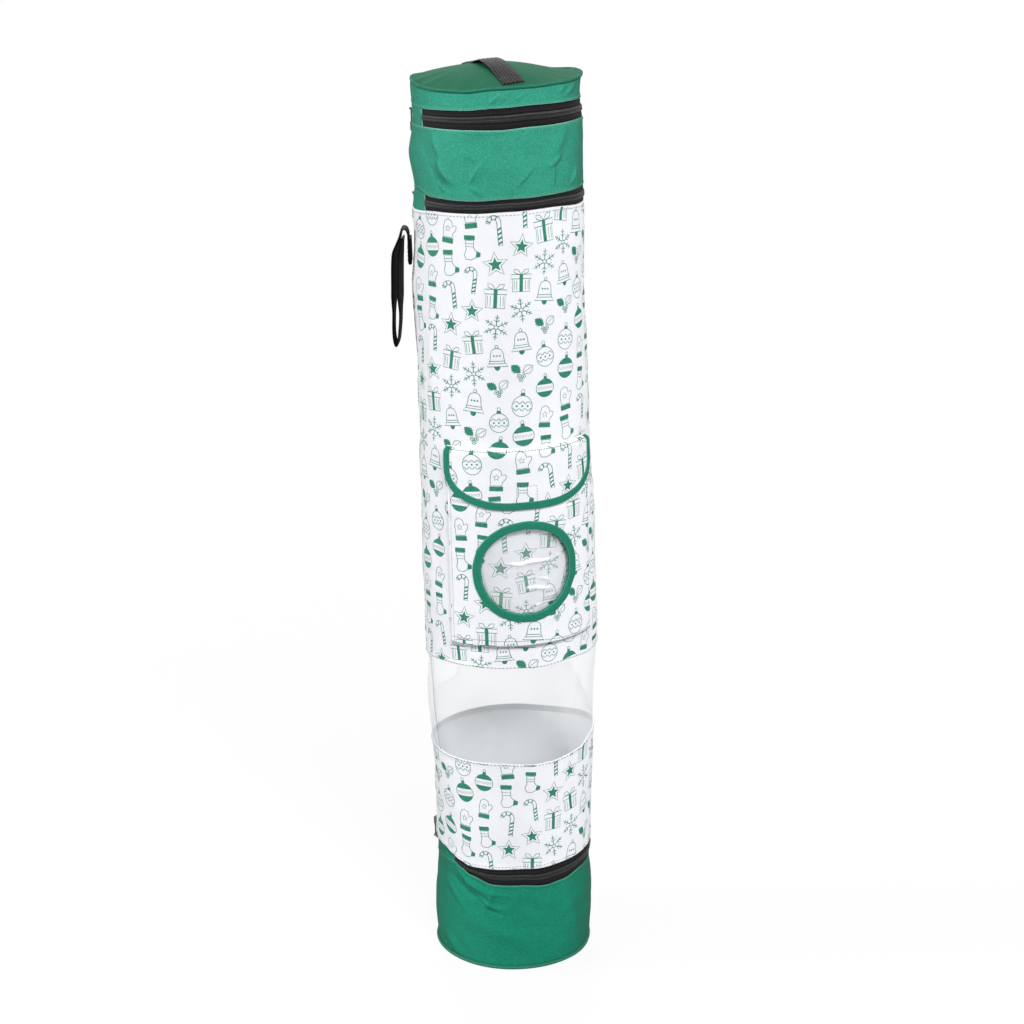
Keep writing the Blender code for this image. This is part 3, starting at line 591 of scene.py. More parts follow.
class Drawing:
    """Flat shapes by their corners across, up and raised, to be laid on a surface."""

    def __init__(self):
        self.corners = []
        self.faces = []
        self.count = 0

    def add(self, corners, faces):
        corners = np.asarray(corners, float)
        if corners.shape[1] == 2:
            corners = np.column_stack([corners, np.zeros(len(corners))])
        self.corners.append(corners)
        self.faces += [[index + self.count for index in face] for face in faces]
        self.count += len(corners)

    def stroke(self, points, width, closed=False):
        """A line of even width through points."""
        points = np.asarray(points, float)
        if closed:
            ahead, behind = np.roll(points, -1, 0), np.roll(points, 1, 0)
        else:
            ahead = np.vstack([points[1:], points[-1:]])
            behind = np.vstack([points[:1], points[:-1]])
        way = ahead - behind
        way = way / np.maximum(np.linalg.norm(way, axis=1, keepdims=True), 1e-9)
        side = np.column_stack([-way[:, 1], way[:, 0]]) * width / 2
        count = len(points)
        cells = count if closed else count - 1
        faces = []
        for step in range(cells):
            after = (step + 1) % count
            faces.append((count + step, count + after, after, step))
        self.add(np.vstack([points + side, points - side]), faces)

    def fill(self, points):
        area = 0.5 * sum(a[0] * b[1] - b[0] * a[1] for a, b in zip(points, list(points[1:]) + [points[0]]))
        order = range(len(points)) if area > 0 else range(len(points) - 1, -1, -1)
        self.add(points, [list(order)])

    def stitches(self, points, length=0.0024, gap=0.0014, width=0.0006, tall=0.00028):
        """A row of short raised threads along a line."""
        points = np.asarray(points, float)
        run = run_along(points)
        count = max(1, int(run[-1] / (length + gap)))
        starts = (np.arange(count) + 0.5) * run[-1] / count - length / 2
        shares = np.array([0.0, 0.25, 0.75, 1.0])
        halves = np.array([0.25, 0.5, 0.5, 0.25]) * width
        heights = np.array([0.35, 1.0, 1.0, 0.35]) * tall
        for start in starts:
            along = start + shares * length
            middle = np.column_stack([np.interp(along, run, points[:, axis]) for axis in (0, 1)])
            way = middle[-1] - middle[0]
            way = way / max(math.hypot(*way), 1e-9)
            side = np.array([-way[1], way[0]])
            corners = [
                np.column_stack([middle + side * halves[:, None] * where,
                                 heights * (1 - abs(where)) - tall * 0.4])
                for where in (-1, 0, 1)]
            faces = []
            for strand in (0, 4):
                for step in range(3):
                    a = strand + step
                    faces.append((a, a + 1, a + 5, a + 4))
            self.add(np.vstack(corners), faces)

    def make(self, name, place, look, offset, ranges=None, hole=None):
        """Lays the shapes on a surface. ranges cuts them off at limits across and up."""
        mesh = bpy.data.meshes.new(name)
        mesh.from_pydata(np.vstack(self.corners).tolist(), [], self.faces)
        if ranges is not None:
            cut_flat(mesh, ranges)
        if hole is not None:
            drop_inside(mesh, *hole)
        cut_small(mesh, 0.0026)
        flat = np.empty(len(mesh.vertices) * 3)
        mesh.vertices.foreach_get("co", flat)
        flat = flat.reshape(-1, 3)
        points = place(flat[:, 0], flat[:, 1], flat[:, 2] + offset)
        corners = np.empty(len(mesh.loops), dtype=np.int32)
        mesh.loops.foreach_get("vertex_index", corners)
        layer = mesh.uv_layers.new(name="weave")
        layer.data.foreach_set("uv", flat[corners, :2].astype(np.float32).reshape(-1))
        mesh.vertices.foreach_set("co", points.reshape(-1))
        mesh.shade_smooth()
        mesh.materials.append(LOOKS[look])
        return add_thing(name, mesh)


def split_many_sided(work):
    bmesh.ops.triangulate(work, faces=[face for face in work.faces if len(face.verts) > 4])


def cut_flat(mesh, ranges):
    """Cuts a flat mesh off at its lowest and highest place across and up."""
    with editing(mesh) as work:
        for axis, limits in enumerate(ranges):
            for limit, way in zip(limits, (-1, 1)):
                normal = Vector((0, 0, 0))
                normal[axis] = way
                everything = list(work.verts) + list(work.edges) + list(work.faces)
                bmesh.ops.bisect_plane(
                    work, geom=everything, plane_co=normal * way * limit, plane_no=normal, clear_outer=True)
        split_many_sided(work)


def cut_small(mesh, longest):
    """Cuts long edges in half until a flat shape can bend round the tube."""
    with editing(mesh) as work:
        for step in range(4):
            long = [edge for edge in work.edges if edge.calc_length() > longest]
            if not long:
                break
            bmesh.ops.subdivide_edges(work, edges=long, cuts=1, use_grid_fill=True)
            split_many_sided(work)


def drop_inside(mesh, across, up, radius):
    middle = Vector((across, up, 0))
    with editing(mesh) as work:
        gone = [face for face in work.faces if (face.calc_center_median() - middle).length < radius]
        bmesh.ops.delete(work, geom=gone, context="FACES")


# Motifs: each draws itself in millimetres about its own middle, up to 28 tall
def oval(across, up, wide, tall, start=0, end=360, steps=28):
    angles = np.radians(np.linspace(start, end, steps + 1))
    return np.column_stack([across + wide * np.cos(angles), up + tall * np.sin(angles)])


def closed_oval(across, up, wide, tall, steps=28):
    return oval(across, up, wide, tall, 0, 360, steps)[:-1]


def star_points(across, up, outer, inner, count=5):
    angles = np.radians(90 + np.arange(2 * count) * 180 / count)
    radii = np.where(np.arange(2 * count) % 2 == 0, outer, inner)
    return np.column_stack([across + radii * np.cos(angles), up + radii * np.sin(angles)])


def draw_bauble(pen):
    pen.line(closed_oval(0, -2.5, 8.6, 9.2), closed=True)
    pen.fill([(-2.2, 6.4), (2.2, 6.4), (1.8, 9.0), (-1.8, 9.0)])
    pen.line(closed_oval(0, 10.6, 1.5, 1.7, 12), closed=True, width=0.5)
    for up, swing in ((0.6, 1.0), (-5.6, -1.0)):
        across = np.linspace(-7.6, 7.6, 17)
        pen.line(np.column_stack([across, up + 1.1 * swing * np.cos(across * 1.24)]))
    for across in (-4.6, 0, 4.6):
        pen.fill(closed_oval(across, -2.5, 0.9, 0.9, 8))


def draw_banded_bauble(pen):
    pen.fill(np.vstack([oval(0, -2, 9, 9, 22, 158, 16)]))
    pen.fill(np.vstack([oval(0, -2, 9, 9, 202, 338, 16)]))
    pen.line(oval(0, -2, 9, 9, -22, 22, 6))
    pen.line(oval(0, -2, 9, 9, 158, 202, 6))
    across = np.linspace(-7.4, 7.4, 13)
    pen.line(np.column_stack([across, -2 + 1.3 * np.where(np.arange(13) % 2 == 0, 1, -1)]), width=0.5)
    pen.fill([(-1.8, 7.0), (1.8, 7.0), (1.5, 9.2), (-1.5, 9.2)])
    pen.line(closed_oval(0, 10.6, 1.4, 1.5, 12), closed=True, width=0.5)


def draw_snowflake(pen):
    for number in range(6):
        turn = math.radians(60 * number + 30)
        along = np.array([math.cos(turn), math.sin(turn)])
        pen.line([along * 1.8, along * 11.2], width=0.8)
        for place, reach in ((5.0, 3.0), (8.0, 2.2)):
            for side in (-1, 1):
                branch = turn + side * math.radians(55)
                tip = along * place + reach * np.array([math.cos(branch), math.sin(branch)])
                pen.line([along * place, tip])
    pen.line(closed_oval(0, 0, 1.8, 1.8, 6), closed=True)


def draw_star(pen):
    pen.line(star_points(0, 0, 11, 4.8), closed=True, width=0.7)
    pen.fill(star_points(0, 0, 6.4, 2.8))


def draw_cane(pen):
    bend = oval(-1.2, 5.4, 4.6, 4.6, 0, 176, 14)
    middle = np.vstack([[(3.4, -12.4), (3.4, -6), (3.4, 0)], bend])
    way = unit(np.gradient(middle, axis=0))
    side = np.column_stack([-way[:, 1], way[:, 0]]) * 1.7
    pen.line(np.vstack([middle + side, (middle - side)[::-1]]), closed=True)
    for up in (-10.6, -7.0, -3.4, 0.2):
        pen.fill([(1.8, up - 1.3), (5.0, up + 0.3), (5.0, up + 1.9), (1.8, up + 0.3)])
    for number in (4, 8, 12):
        a, b = bend[number], bend[number + 1]
        out = (a - np.array([-1.2, 5.4])) / 4.6 * 1.7
        pen.fill([a - out, b - out, b + out, a + out])


def draw_gift(pen):
    pen.line([(-8, -11), (8, -11), (8, 1), (-8, 1)], closed=True)
    pen.line([(-9.4, 1), (9.4, 1), (9.4, 5), (-9.4, 5)], closed=True)
    pen.fill([(-1.6, -11), (1.6, -11), (1.6, 5), (-1.6, 5)])
    for side in (-1, 1):
        loop = [(0, 5.2), (side * 3.4, 9.6), (side * 7.0, 9.8), (side * 6.4, 6.6), (side * 2.6, 5.4)]
        pen.line(loop, closed=True)
        for across in (4.2, 6.6):
            pen.line([(side * across, -9.4), (side * across, -0.6)], width=0.45)


def draw_bell(pen):
    right = [(1.2, 9.4), (4.0, 8.2), (5.6, 4.6), (6.0, 0), (6.8, -4), (9.4, -7.6)]
    left = [(-across, up) for across, up in reversed(right)]
    pen.line(right + left, closed=True)
    pen.line([(-6.4, -2.6), (6.4, -2.6)])
    pen.line([(-7.2, -4.8), (7.2, -4.8)])
    pen.fill(oval(0, -7.9, 2.6, 3.4, 180, 360, 10))
    pen.line(closed_oval(0, 11.0, 1.4, 1.5, 12), closed=True, width=0.5)
    for across in (-2.6, 0, 2.6):
        pen.fill(star_points(across, 2.4, 1.3, 0.55, 4))


def draw_holly(pen):
    for side, filled in ((-1, True), (1, False)):
        edge = []
        for step in range(13):
            share = step / 12
            wide = 4.0 * math.sin(math.pi * share) * (0.72 if step % 2 else 1.15)
            edge.append((share * 11.0, wide))
        under = [(along, -wide) for along, wide in reversed(edge[1:-1])]
        turn = math.radians(38)
        leaf = []
        for along, wide in edge + under:
            across = along * math.cos(turn) - wide * math.sin(turn)
            up = along * math.sin(turn) + wide * math.cos(turn)
            leaf.append((side * (across + 1.0), up - 0.6))
        if filled:
            pen.fill(leaf)
        else:
            pen.line(leaf, closed=True)
            pen.line([(1.6, -0.1), (8.6, 5.4)], width=0.5)
    for across, up in ((-1.9, -3.4), (1.9, -3.4), (0, -6.6)):
        pen.line(closed_oval(across, up, 1.7, 1.7, 12), closed=True)
        pen.fill(closed_oval(across, up, 0.7, 0.7, 8))


def draw_mitten(pen):
    outline = [(-5.4, -6), (-5.8, 2), (-4.6, 7.4), (-1.0, 9.6), (2.8, 7.6), (3.8, 3.0), (5.6, 4.4),
               (7.6, 3.4), (7.2, 0.6), (4.4, -3.0), (4.0, -6)]
    pen.line(outline, closed=True)
    pen.fill([(-6.4, -11), (5.0, -11), (5.0, -6.6), (-6.4, -6.6)])
    pen.line(star_points(-0.8, 1.4, 3.0, 1.3), closed=True, width=0.5)


def draw_stocking(pen):
    outline = [(-5.2, 6), (-4.4, -2.4), (-6.2, -7.2), (-4.4, -11), (0.4, -11.6), (5.4, -9.0), (8.6, -8.4),
               (9.0, -5.2), (5.0, -3.6), (2.8, -0.6), (3.0, 6)]
    pen.line(outline, closed=True)
    pen.fill([(-6.2, 6.4), (4.0, 6.4), (4.0, 10.4), (-6.2, 10.4)])
    pen.fill([(4.6, -8.8), (8.6, -8.2), (8.8, -5.4), (5.4, -4.2)])
    pen.line([(-4.7, 3), (3.0, 3)], width=0.5)
    pen.line([(-4.5, 0.4), (2.9, 0.4)], width=0.5)


MOTIFS = (draw_bauble, draw_snowflake, draw_cane, draw_banded_bauble, draw_bell, draw_star, draw_mitten,
          draw_holly, draw_gift, draw_stocking)
MOTIF_COLUMNS = 22
MOTIF_ROW = 0.0315
MOTIF_SIZE = 1.12
LINE_WIDTH = 0.62


class Pen:
    """Draws a motif's lines, in millimetres, at its own place, tilt and size."""

    def __init__(self, drawing, across, up, turn, size):
        self.drawing = drawing
        self.middle = np.array([across, up])
        self.turn = np.array([[math.cos(turn), -math.sin(turn)], [math.sin(turn), math.cos(turn)]])
        self.size = size / 1000

    def placed(self, points):
        return np.asarray(points, float) @ self.turn.T * self.size + self.middle

    def line(self, points, closed=False, width=LINE_WIDTH):
        self.drawing.stroke(self.placed(points), width / 1000, closed)

    def fill(self, points):
        self.drawing.fill([tuple(point) for point in self.placed(points)])


def print_motifs(name, place, ranges, shift=(0.0, 0.0), hole=None):
    """The print: columns of motifs, every other column half a step lower."""
    drawing = Drawing()
    pitch = ARC_FULL / MOTIF_COLUMNS
    (left, right), (low, high) = ranges
    first = math.floor((left - shift[0]) / pitch) - 1
    last = math.ceil((right - shift[0]) / pitch) + 1
    base = math.floor((low - shift[1]) / MOTIF_ROW) - 1
    top = math.ceil((high - shift[1]) / MOTIF_ROW) + 1
    for column in range(first, last + 1):
        for row in range(base, top + 1):
            number = column * 3 + row * 7
            drop = 0.5 if column % 2 else 0.0
            across = shift[0] + column * pitch + 0.0008 * math.sin(number * 1.7)
            up = shift[1] + (row + drop) * MOTIF_ROW + 0.0008 * math.cos(number * 2.3)
            turn = math.radians(7) * math.sin(number * 2.9)
            MOTIFS[number % len(MOTIFS)](Pen(drawing, across, up, turn, MOTIF_SIZE + 0.05 * math.sin(number)))
    return drawing.make(name, place, "ink", 0.00012, ranges, hole)


# Materials
def connect(tree, node, values):
    """Sets a node's inputs, each to a value or to what another node gives."""
    for key, value in values.items():
        socket = node.inputs[key.replace("_", " ") if isinstance(key, str) else key]
        if isinstance(value, bpy.types.NodeSocket):
            tree.links.new(value, socket)
        else:
            socket.default_value = value


def add_node(tree, kind, inputs=None, **settings):
    node = tree.nodes.new("ShaderNode" + kind)
    for key, value in settings.items():
        setattr(node, key, value)
    connect(tree, node, inputs or {})
    return node.outputs


class Look:
    """A material being built from nodes round one Principled shader."""

    def __init__(self, name, **values):
        self.material = bpy.data.materials.new(name)
        self.material.use_nodes = True
        self.tree = self.material.node_tree
        self.shader = self.tree.nodes["Principled BSDF"]
        connect(self.tree, self.shader, values)

    def finish(self, colour, rough, normal, **more):
        values = {"Base Color": colour, "Roughness": rough, "Normal": normal, **more}
        connect(self.tree, self.shader, values)
        return self.material

    def add(self, kind, inputs=None, **settings):
        return add_node(self.tree, kind, inputs, **settings)

    def math(self, operation, first, second=0.0, third=0.0):
        return self.add("Math", {0: first, 1: second, 2: third}, operation=operation)[0]

    def mix(self, factor, first, second, blend="MIX"):
        return self.add("Mix", {0: factor, 6: first, 7: second}, data_type="RGBA", blend_type=blend)[2]

    def ramp(self, value, low, high, to_low=0.0, to_high=1.0):
        return self.add("MapRange", {0: value, 1: low, 2: high, 3: to_low, 4: to_high})[0]

    def between(self, value, low, high, first, second):
        """A colour that goes from first to second as a value goes from low to high."""
        return self.mix(self.ramp(value, low, high), linear(first), linear(second))

    def uneven(self, value, low, high):
        """A noise's middle range spread from low to high."""
        return self.ramp(value, 0.3, 0.7, low, high)

    def noise(self, scale, detail=2.0, stretch=None):
        where = self.add("TexCoord")["Object"]
        if stretch is not None:
            where = self.add("Mapping", {0: where, 3: stretch})[0]
        return self.add("TexNoise", {"Vector": where, "Scale": scale, "Detail": detail})["Fac"]

    def bands(self, period, direction):
        """Even bands across the flat cloth, one every period."""
        inputs = {"Vector": self.add("UVMap", uv_map="weave")[0], "Scale": 2 * math.pi / (20 * period)}
        return self.add("TexWave", inputs, wave_type="BANDS", bands_direction=direction)["Fac"]

    def edge(self):
        """The mark that the mesh carries along its hems and folds: where woven cloth is painted paler, partly
        as wear and partly as painted highlight, and where tape and film get painted highlights and glints.
        """
        return self.add("Attribute", attribute_name="edge")["Fac"]

    def bump(self, height, distance, strength=1.0, below=None):
        inputs = {"Height": height, "Distance": distance, "Strength": strength}
        if below is not None:
            inputs["Normal"] = below
        return self.add("Bump", inputs)[0]


def shaded(colour, share):
    """A shader colour made darker or lighter, up to white."""
    return (*(min(1.0, value * share) for value in colour[:3]), 1.0)


def woven(name, colour, pale, period=0.0011, grain=0.3, wear_and_highlight=0.85, sheen=0.03, flat_shade=0.0, rim=0.0):
    """Woven cloth: threads both ways, grain, uneven dye, paler edges that are partly wear and partly painted
    highlight, and painted shade where it is seen edge-on.
    """
    look = Look(name, Sheen_Weight=sheen, Sheen_Roughness=0.45, Specular_IOR_Level=0.14,
                Diffuse_Roughness=flat_shade)
    weave = look.math("MAXIMUM", look.bands(period, "X"), look.bands(period, "Y"))
    fine = look.noise(820, 3)
    specks = look.noise(720, 3)
    dark = shaded(linear(colour), 1 - grain)
    light = (*(min(1.0, value * (1 + grain) + 0.012 * grain) for value in linear(colour)[:3]), 1.0)
    shade = look.math("MULTIPLY_ADD", fine, 0.7, look.math("MULTIPLY", weave, 0.3))
    dyed = look.mix(look.ramp(shade, 0.25, 0.78), dark, light)
    tone = look.math("MULTIPLY_ADD", look.noise(16, 4), 0.6, look.math("MULTIPLY", look.noise(95, 3), 0.4))
    dyed = look.mix(look.ramp(tone, 0.35, 0.65, 0.0, 0.16), dyed, dark)
    dyed = look.mix(look.ramp(specks, 0.40, 0.62, 0.0, 1.1 * grain), dyed, dark)
    # Paler along the mesh's edge mark: partly wear, partly a painted highlight on hems, folds and edges.
    worn = look.math("MULTIPLY", look.edge(), look.uneven(look.noise(240, 2), 0.5 * wear_and_highlight, wear_and_highlight))
    dyed = look.mix(worn, dyed, linear(pale))
    # Darker where the cloth is seen edge-on: painted shade for the light falling off round the tube.
    facing = look.add("LayerWeight", {"Blend": 0.5})["Facing"]
    dyed = look.mix(look.ramp(facing, 0.3, 0.8, 0.0, rim), dyed, (0.5, 0.5, 0.5, 1.0), "MULTIPLY")
    height = look.math("MULTIPLY_ADD", weave, 0.6, look.math("MULTIPLY", fine, 0.6))
    soft = look.bump(look.noise(45, 3), 0.0012, 0.35)
    return look.finish(dyed, look.uneven(fine, 0.78, 0.96), look.bump(height, 0.0003, 0.8, soft))


def ink_look():
    look = Look("print_ink", Specular_IOR_Level=0.2)
    return look.finish(
        look.between(look.noise(700, 3), 0.42, 0.66, INK, (70, 146, 122)),
        look.uneven(look.noise(160, 2), 0.6, 0.8), look.bump(look.noise(820, 2), 0.0001, 0.5))


def lining_look():
    """The coated inner side of the printed cloth."""
    look = Look("coated_lining", Specular_IOR_Level=0.4)
    threads = look.math("MAXIMUM", look.bands(0.0012, "X"), look.bands(0.0012, "Y"))
    return look.finish(
        look.between(look.noise(30, 4), 0.35, 0.65, PRINT_LINING, (234, 238, 240)),
        look.uneven(look.noise(90, 2), 0.42, 0.6),
        look.bump(threads, 0.0001, 0.5, look.bump(look.noise(40, 3), 0.0015, 0.4)))


def film_look():
    """Clear film. What it lets through shows as it is; the rest is its mirror-like share. Along its folds it
    is made more opaque and rougher: painted glints.
    """
    look = Look("clear_film", Metallic=1.0)
    ripples = look.bump(look.noise(34, 3, (1.0, 1.0, 0.5)), 0.003, 0.4)
    facing = look.add("LayerWeight", {"Blend": 0.4, "Normal": ripples})["Facing"]
    haze = look.ramp(look.noise(28, 4), 0.4, 0.7, 0.0, 0.03)
    mirror = look.math("ADD", look.ramp(look.math("POWER", facing, 2.2), 0.0, 1.0, 0.09, 0.5), haze)
    # Along the folds the film is made more opaque and rougher so that it shows whitish: painted glints.
    glint_mask = look.edge()
    painted_glints = look.math("MULTIPLY", glint_mask, look.ramp(look.noise(90, 3), 0.3, 0.52, 0.4, 0.95))
    rough = look.uneven(look.noise(60, 2), 0.05, 0.12)
    rough = look.math("MAXIMUM", rough, look.math("MULTIPLY", glint_mask, 0.6))
    return look.finish(
        look.between(facing, 0.3, 1.0, (248, 250, 252), (214, 219, 224)), rough, ripples,
        Alpha=look.math("MAXIMUM", mirror, painted_glints))


def tape_look():
    """Zip tape: fine ribs along it, and a lighter line near the coil: a painted highlight where a raised line
    would catch light.
    """
    look = Look("zip_tape_weave", Specular_IOR_Level=0.15)
    fine = look.noise(900, 2)
    lines = look.math("MULTIPLY", look.bands(0.0026, "Y"), 0.8)
    height = look.math("MULTIPLY_ADD", look.bands(0.0010, "X"), 0.6, lines)
    tone = look.math("MULTIPLY_ADD", height, 0.4, look.math("MULTIPLY", fine, 0.5))
    colour = look.between(tone, 0.3, 0.9, (7, 7, 8), (29, 29, 30))
    # The lighter line along the edge mark is a painted highlight.
    colour = look.mix(look.math("MULTIPLY", look.edge(), 0.25), colour, linear((64, 64, 66)))
    return look.finish(colour, look.uneven(fine, 0.7, 0.86), look.bump(height, 0.00025, 0.8))


def coil_look():
    """Nylon zip teeth, a little glossy."""
    look = Look("zip_teeth_nylon", Specular_IOR_Level=0.35)
    fine = look.noise(500, 2)
    return look.finish(
        look.between(fine, 0.35, 0.65, (9, 10, 11), (32, 33, 35)), look.uneven(fine, 0.3, 0.48),
        look.bump(fine, 0.00008, 0.4))


def webbing_look(name, dark, light, period=0.0022):
    """Strap webbing: ribs along it, crossed by slanted threads."""
    look = Look(name, Specular_IOR_Level=0.12)
    slanted = look.math("MULTIPLY", look.bands(period * 0.75, "DIAGONAL"), 0.6)
    height = look.math("MULTIPLY_ADD", look.bands(period, "X"), 0.8, slanted)
    height = look.math("MULTIPLY_ADD", look.bands(period * 0.6, "Y"), 0.3, height)
    fine = look.noise(700, 3)
    tone = look.math("MULTIPLY_ADD", height, 0.35, look.math("MULTIPLY", fine, 0.55))
    return look.finish(
        look.between(tone, 0.45, 0.95, dark, light), look.uneven(fine, 0.62, 0.8),
        look.bump(height, 0.0004, 0.9))


def thread_look(name, colour):
    look = Look(name, Sheen_Weight=0.3, Specular_IOR_Level=0.35)
    twist = look.noise(2200, 2)
    base = linear(colour)
    return look.finish(
        look.mix(look.ramp(twist, 0.35, 0.65), shaded(base, 0.72), base), look.uneven(twist, 0.5, 0.7),
        look.bump(twist, 0.0001, 0.6))


def lacquer_look():
    """Black lacquered metal with fine scuffs and brighter worn edges."""
    look = Look("black_lacquer", Metallic=0.35, Specular_IOR_Level=0.5, Coat_Weight=0.5, Coat_Roughness=0.18)
    fine = look.noise(420, 3)
    worn = look.ramp(look.add("NewGeometry")["Pointiness"], 0.53, 0.62, 0.0, 0.6)
    colour = look.between(fine, 0.35, 0.65, (26, 26, 28), (44, 44, 47))
    return look.finish(
        look.mix(worn, colour, linear((120, 120, 122))), look.uneven(fine, 0.26, 0.42),
        look.bump(fine, 0.00006, 0.35))


def fuzz_look(name, colour, light):
    """Hook or loop tape: a dense short pile."""
    look = Look(name, Sheen_Weight=0.6, Sheen_Roughness=0.6, Specular_IOR_Level=0.2)
    cells = look.add("TexVoronoi", {"Vector": look.add("TexCoord")["Object"], "Scale": 1100.0})["Distance"]
    return look.finish(
        look.between(cells, 0.1, 0.7, light, colour), look.uneven(look.noise(1500, 2), 0.85, 0.95),
        look.bump(cells, 0.0005, 0.8))


LOOKS = {
    "green": woven("green_oxford", GREEN, GREEN_PALE, grain=0.42, rim=0.75),
    "cup": woven("cup_oxford", GREEN_CUP, GREEN_CUP_PALE, grain=0.42, rim=0.85),
    "lid": woven("lid_oxford", GREEN_LID, (70, 126, 100), sheen=0.0),
    "lining": woven("green_lining", GREEN_LINING, GREEN_CUP, grain=0.12),
    "piping": woven("green_piping", (36, 116, 92), (70, 140, 116)),
    "cup_piping": woven("cup_piping", (40, 122, 98), (84, 150, 128)),
    "binding": woven("green_binding_tape", GREEN_BINDING, (86, 164, 140), period=0.0009, grain=0.24),
    "white": woven("print_cloth", PRINT_WHITE, PRINT_PALE, period=0.0008, grain=0.05, wear_and_highlight=0.4, sheen=0.2,
                   flat_shade=0.5),
    "white_back": lining_look(),
    "ink": ink_look(),
    "film": film_look(),
    "tape": tape_look(),
    "coil": coil_look(),
    "webbing": webbing_look("strap_webbing", (2, 2, 2), (13, 13, 14)),
    "grab": webbing_look("grab_webbing", (9, 9, 10), (88, 86, 87), 0.003),
    "dark_thread": thread_look("dark_thread", THREAD_DARK),
    "pale_thread": thread_look("pale_thread", THREAD_PALE),
    "grey_thread": thread_look("grey_thread", THREAD_GREY),
    "black_thread": thread_look("black_thread", (40, 40, 42)),
    "lacquer": lacquer_look(),
    "hook": fuzz_look("hook_tape", (70, 96, 88), (140, 168, 158)),
    "loop": fuzz_look("loop_tape", (206, 208, 214), (240, 240, 244)),
}


def place_piece(thing, body, slot, *nodes):
    """A piece rides on its body and stands for the nodes it replaces; its slot is not used."""
    if body is not None:
        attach(thing, body)
    if nodes:
        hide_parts(*nodes)
    return thing


# Walls
WHITE_CLOTH = ("white", "white_back")
PRINTED = ("main_tube", "print_fabric")
SEAM_MARGIN = 0.0035
BACK_SEAM = 179


def hem_roll(away, width=0.0032, tall=0.0005):
    """A turned edge stands out a little, a short way in from the edge."""
    return tall * bump(away - width / 2, width * 0.75)


def make_wall(name, low, high, looks, thickness=CLOTH, tuck=(0.0, 0.0), hems=(True, True), inset=0.0,
              step=WALL_STEP):
    """A ring of cloth between two seams, with its turned hems and folds."""
    theta = math.pi + spread(0, 2 * math.pi, step / TUBE_RADIUS)
    edges = np.array([0.0006, 0.0012, 0.002, 0.003])
    heights = spread(low + GAP / 2, high - GAP / 2, step)
    heights = np.unique(np.concatenate([heights, low + edges, high - edges]))
    across, up = np.meshgrid(theta, heights)
    out, mark = np.zeros(up.shape), np.zeros(up.shape)
    # Hems are marked to be painted paler: partly wear, partly a painted highlight on the turned edge.
    for is_hem, away in zip(hems, (up - low, high - up)):
        if is_hem:
            out += hem_roll(away)
            mark = np.maximum(mark, bump(away, 0.0022))
    out -= tuck[0] * bump(up - low, 0.005) + tuck[1] * bump(high - up, 0.005)
    outer, inner = (skin(across, up, value - inset) for value in (out, np.minimum(out, 0) - thickness))
    flat = joined(across * TUBE_RADIUS, up)
    return Cloth().shell(outer, inner, flat, 0, 1, ring=True, mark=mark).make(name, looks)


def wall_place(across, up, offset):
    return skin(across / TUBE_RADIUS, up, offset)


def hemmed_place(across, up, offset):
    """The printed wall's surface with its turned hems."""
    hems = (up - PRINT_LOW, WINDOW_LOW - up, up - WINDOW_HIGH, PRINT_HIGH - up)
    return wall_place(across, up, offset + sum(hem_roll(away) for away in hems))


def ring_line(height):
    return joined(np.radians(np.linspace(-180, 180, 200)) * TUBE_RADIUS, height)


def upright_line(degrees, low, high):
    return joined(math.radians(degrees) * TUBE_RADIUS, np.linspace(low, high, 30))


def box_line(left, right, low, high):
    """The corners of a stitched box, back to its first."""
    return [(left, low), (right, low), (right, high), (left, high), (left, low)]


def even_points(corners, count):
    return np.vstack([np.linspace(*pair, count) for pair in zip(corners, corners[1:])])


def make_stitches(name, lines, place, look, body, slot, offset=0.0003, **sizes):
    drawing = Drawing()
    for line in lines:
        drawing.stitches(line, **sizes)
    return place_piece(drawing.make(name, place, look, offset), body, slot)


def make_tube():
    """The printed panels, the clear band between them, and their seams."""
    for name, low, high in (("lower_print_panel", PRINT_LOW, WINDOW_LOW),
                            ("upper_print_panel", WINDOW_HIGH, PRINT_HIGH)):
        place_piece(make_wall(name + "_cloth", low, high, WHITE_CLOTH), *PRINTED, name)
        inside = ((-ARC_FULL / 2, ARC_FULL / 2), (low + 0.0006, high - 0.0006))
        place_piece(print_motifs(name + "_motifs", hemmed_place, inside), *PRINTED)
    film = make_wall(
        "clear_window_band_film", WINDOW_LOW - FILM_UNDER, WINDOW_HIGH + FILM_UNDER, ("film", "film"),
        thickness=FILM, hems=(False, False), inset=CLOTH + LINING_GAP)
    place_piece(film, "main_tube", "clear_film", "clear_window_band")
    make_film_seam()
    rows = [
        ring_line(WINDOW_LOW - 0.0016), ring_line(WINDOW_HIGH + 0.0016),
        upright_line(BACK_SEAM, PRINT_LOW + 0.004, WINDOW_LOW - 0.004),
        upright_line(BACK_SEAM, WINDOW_HIGH + 0.004, PRINT_HIGH - 0.004)]
    make_stitches("tube_seam_stitches", rows, hemmed_place, "dark_thread", *PRINTED, 0.0002, width=0.0007)
    rows = [ring_line(PRINT_LOW + 0.003), ring_line(PRINT_HIGH - 0.003)]
    make_stitches("tube_hem_stitches", rows, hemmed_place, "grey_thread", *PRINTED, 0.0002)
    for name, low, high in (("lower", PRINT_LOW, WINDOW_LOW), ("upper", WINDOW_HIGH, PRINT_HIGH)):
        make_back_seam(name, low + SEAM_MARGIN, high - SEAM_MARGIN)


def make_back_seam(name, low, high):
    """The lapped seam down the back of the printed cloth."""
    arcs = math.radians(BACK_SEAM + 0.4) * TUBE_RADIUS + np.linspace(-0.006, 0.0, 5)
    across, up = np.meshgrid(arcs, spread(low, high, 0.004))
    tall = 0.0004 * np.array([0.3, 1.0, 1.0, 1.0, 0.3])
    outer, inner = (wall_place(across, up, offset) for offset in (0.0001 + tall, 0.00004))
    cloth = Cloth().shell(outer, inner, joined(across, up))
    place_piece(cloth.make(name + "_back_seam", ["white"]), *PRINTED)


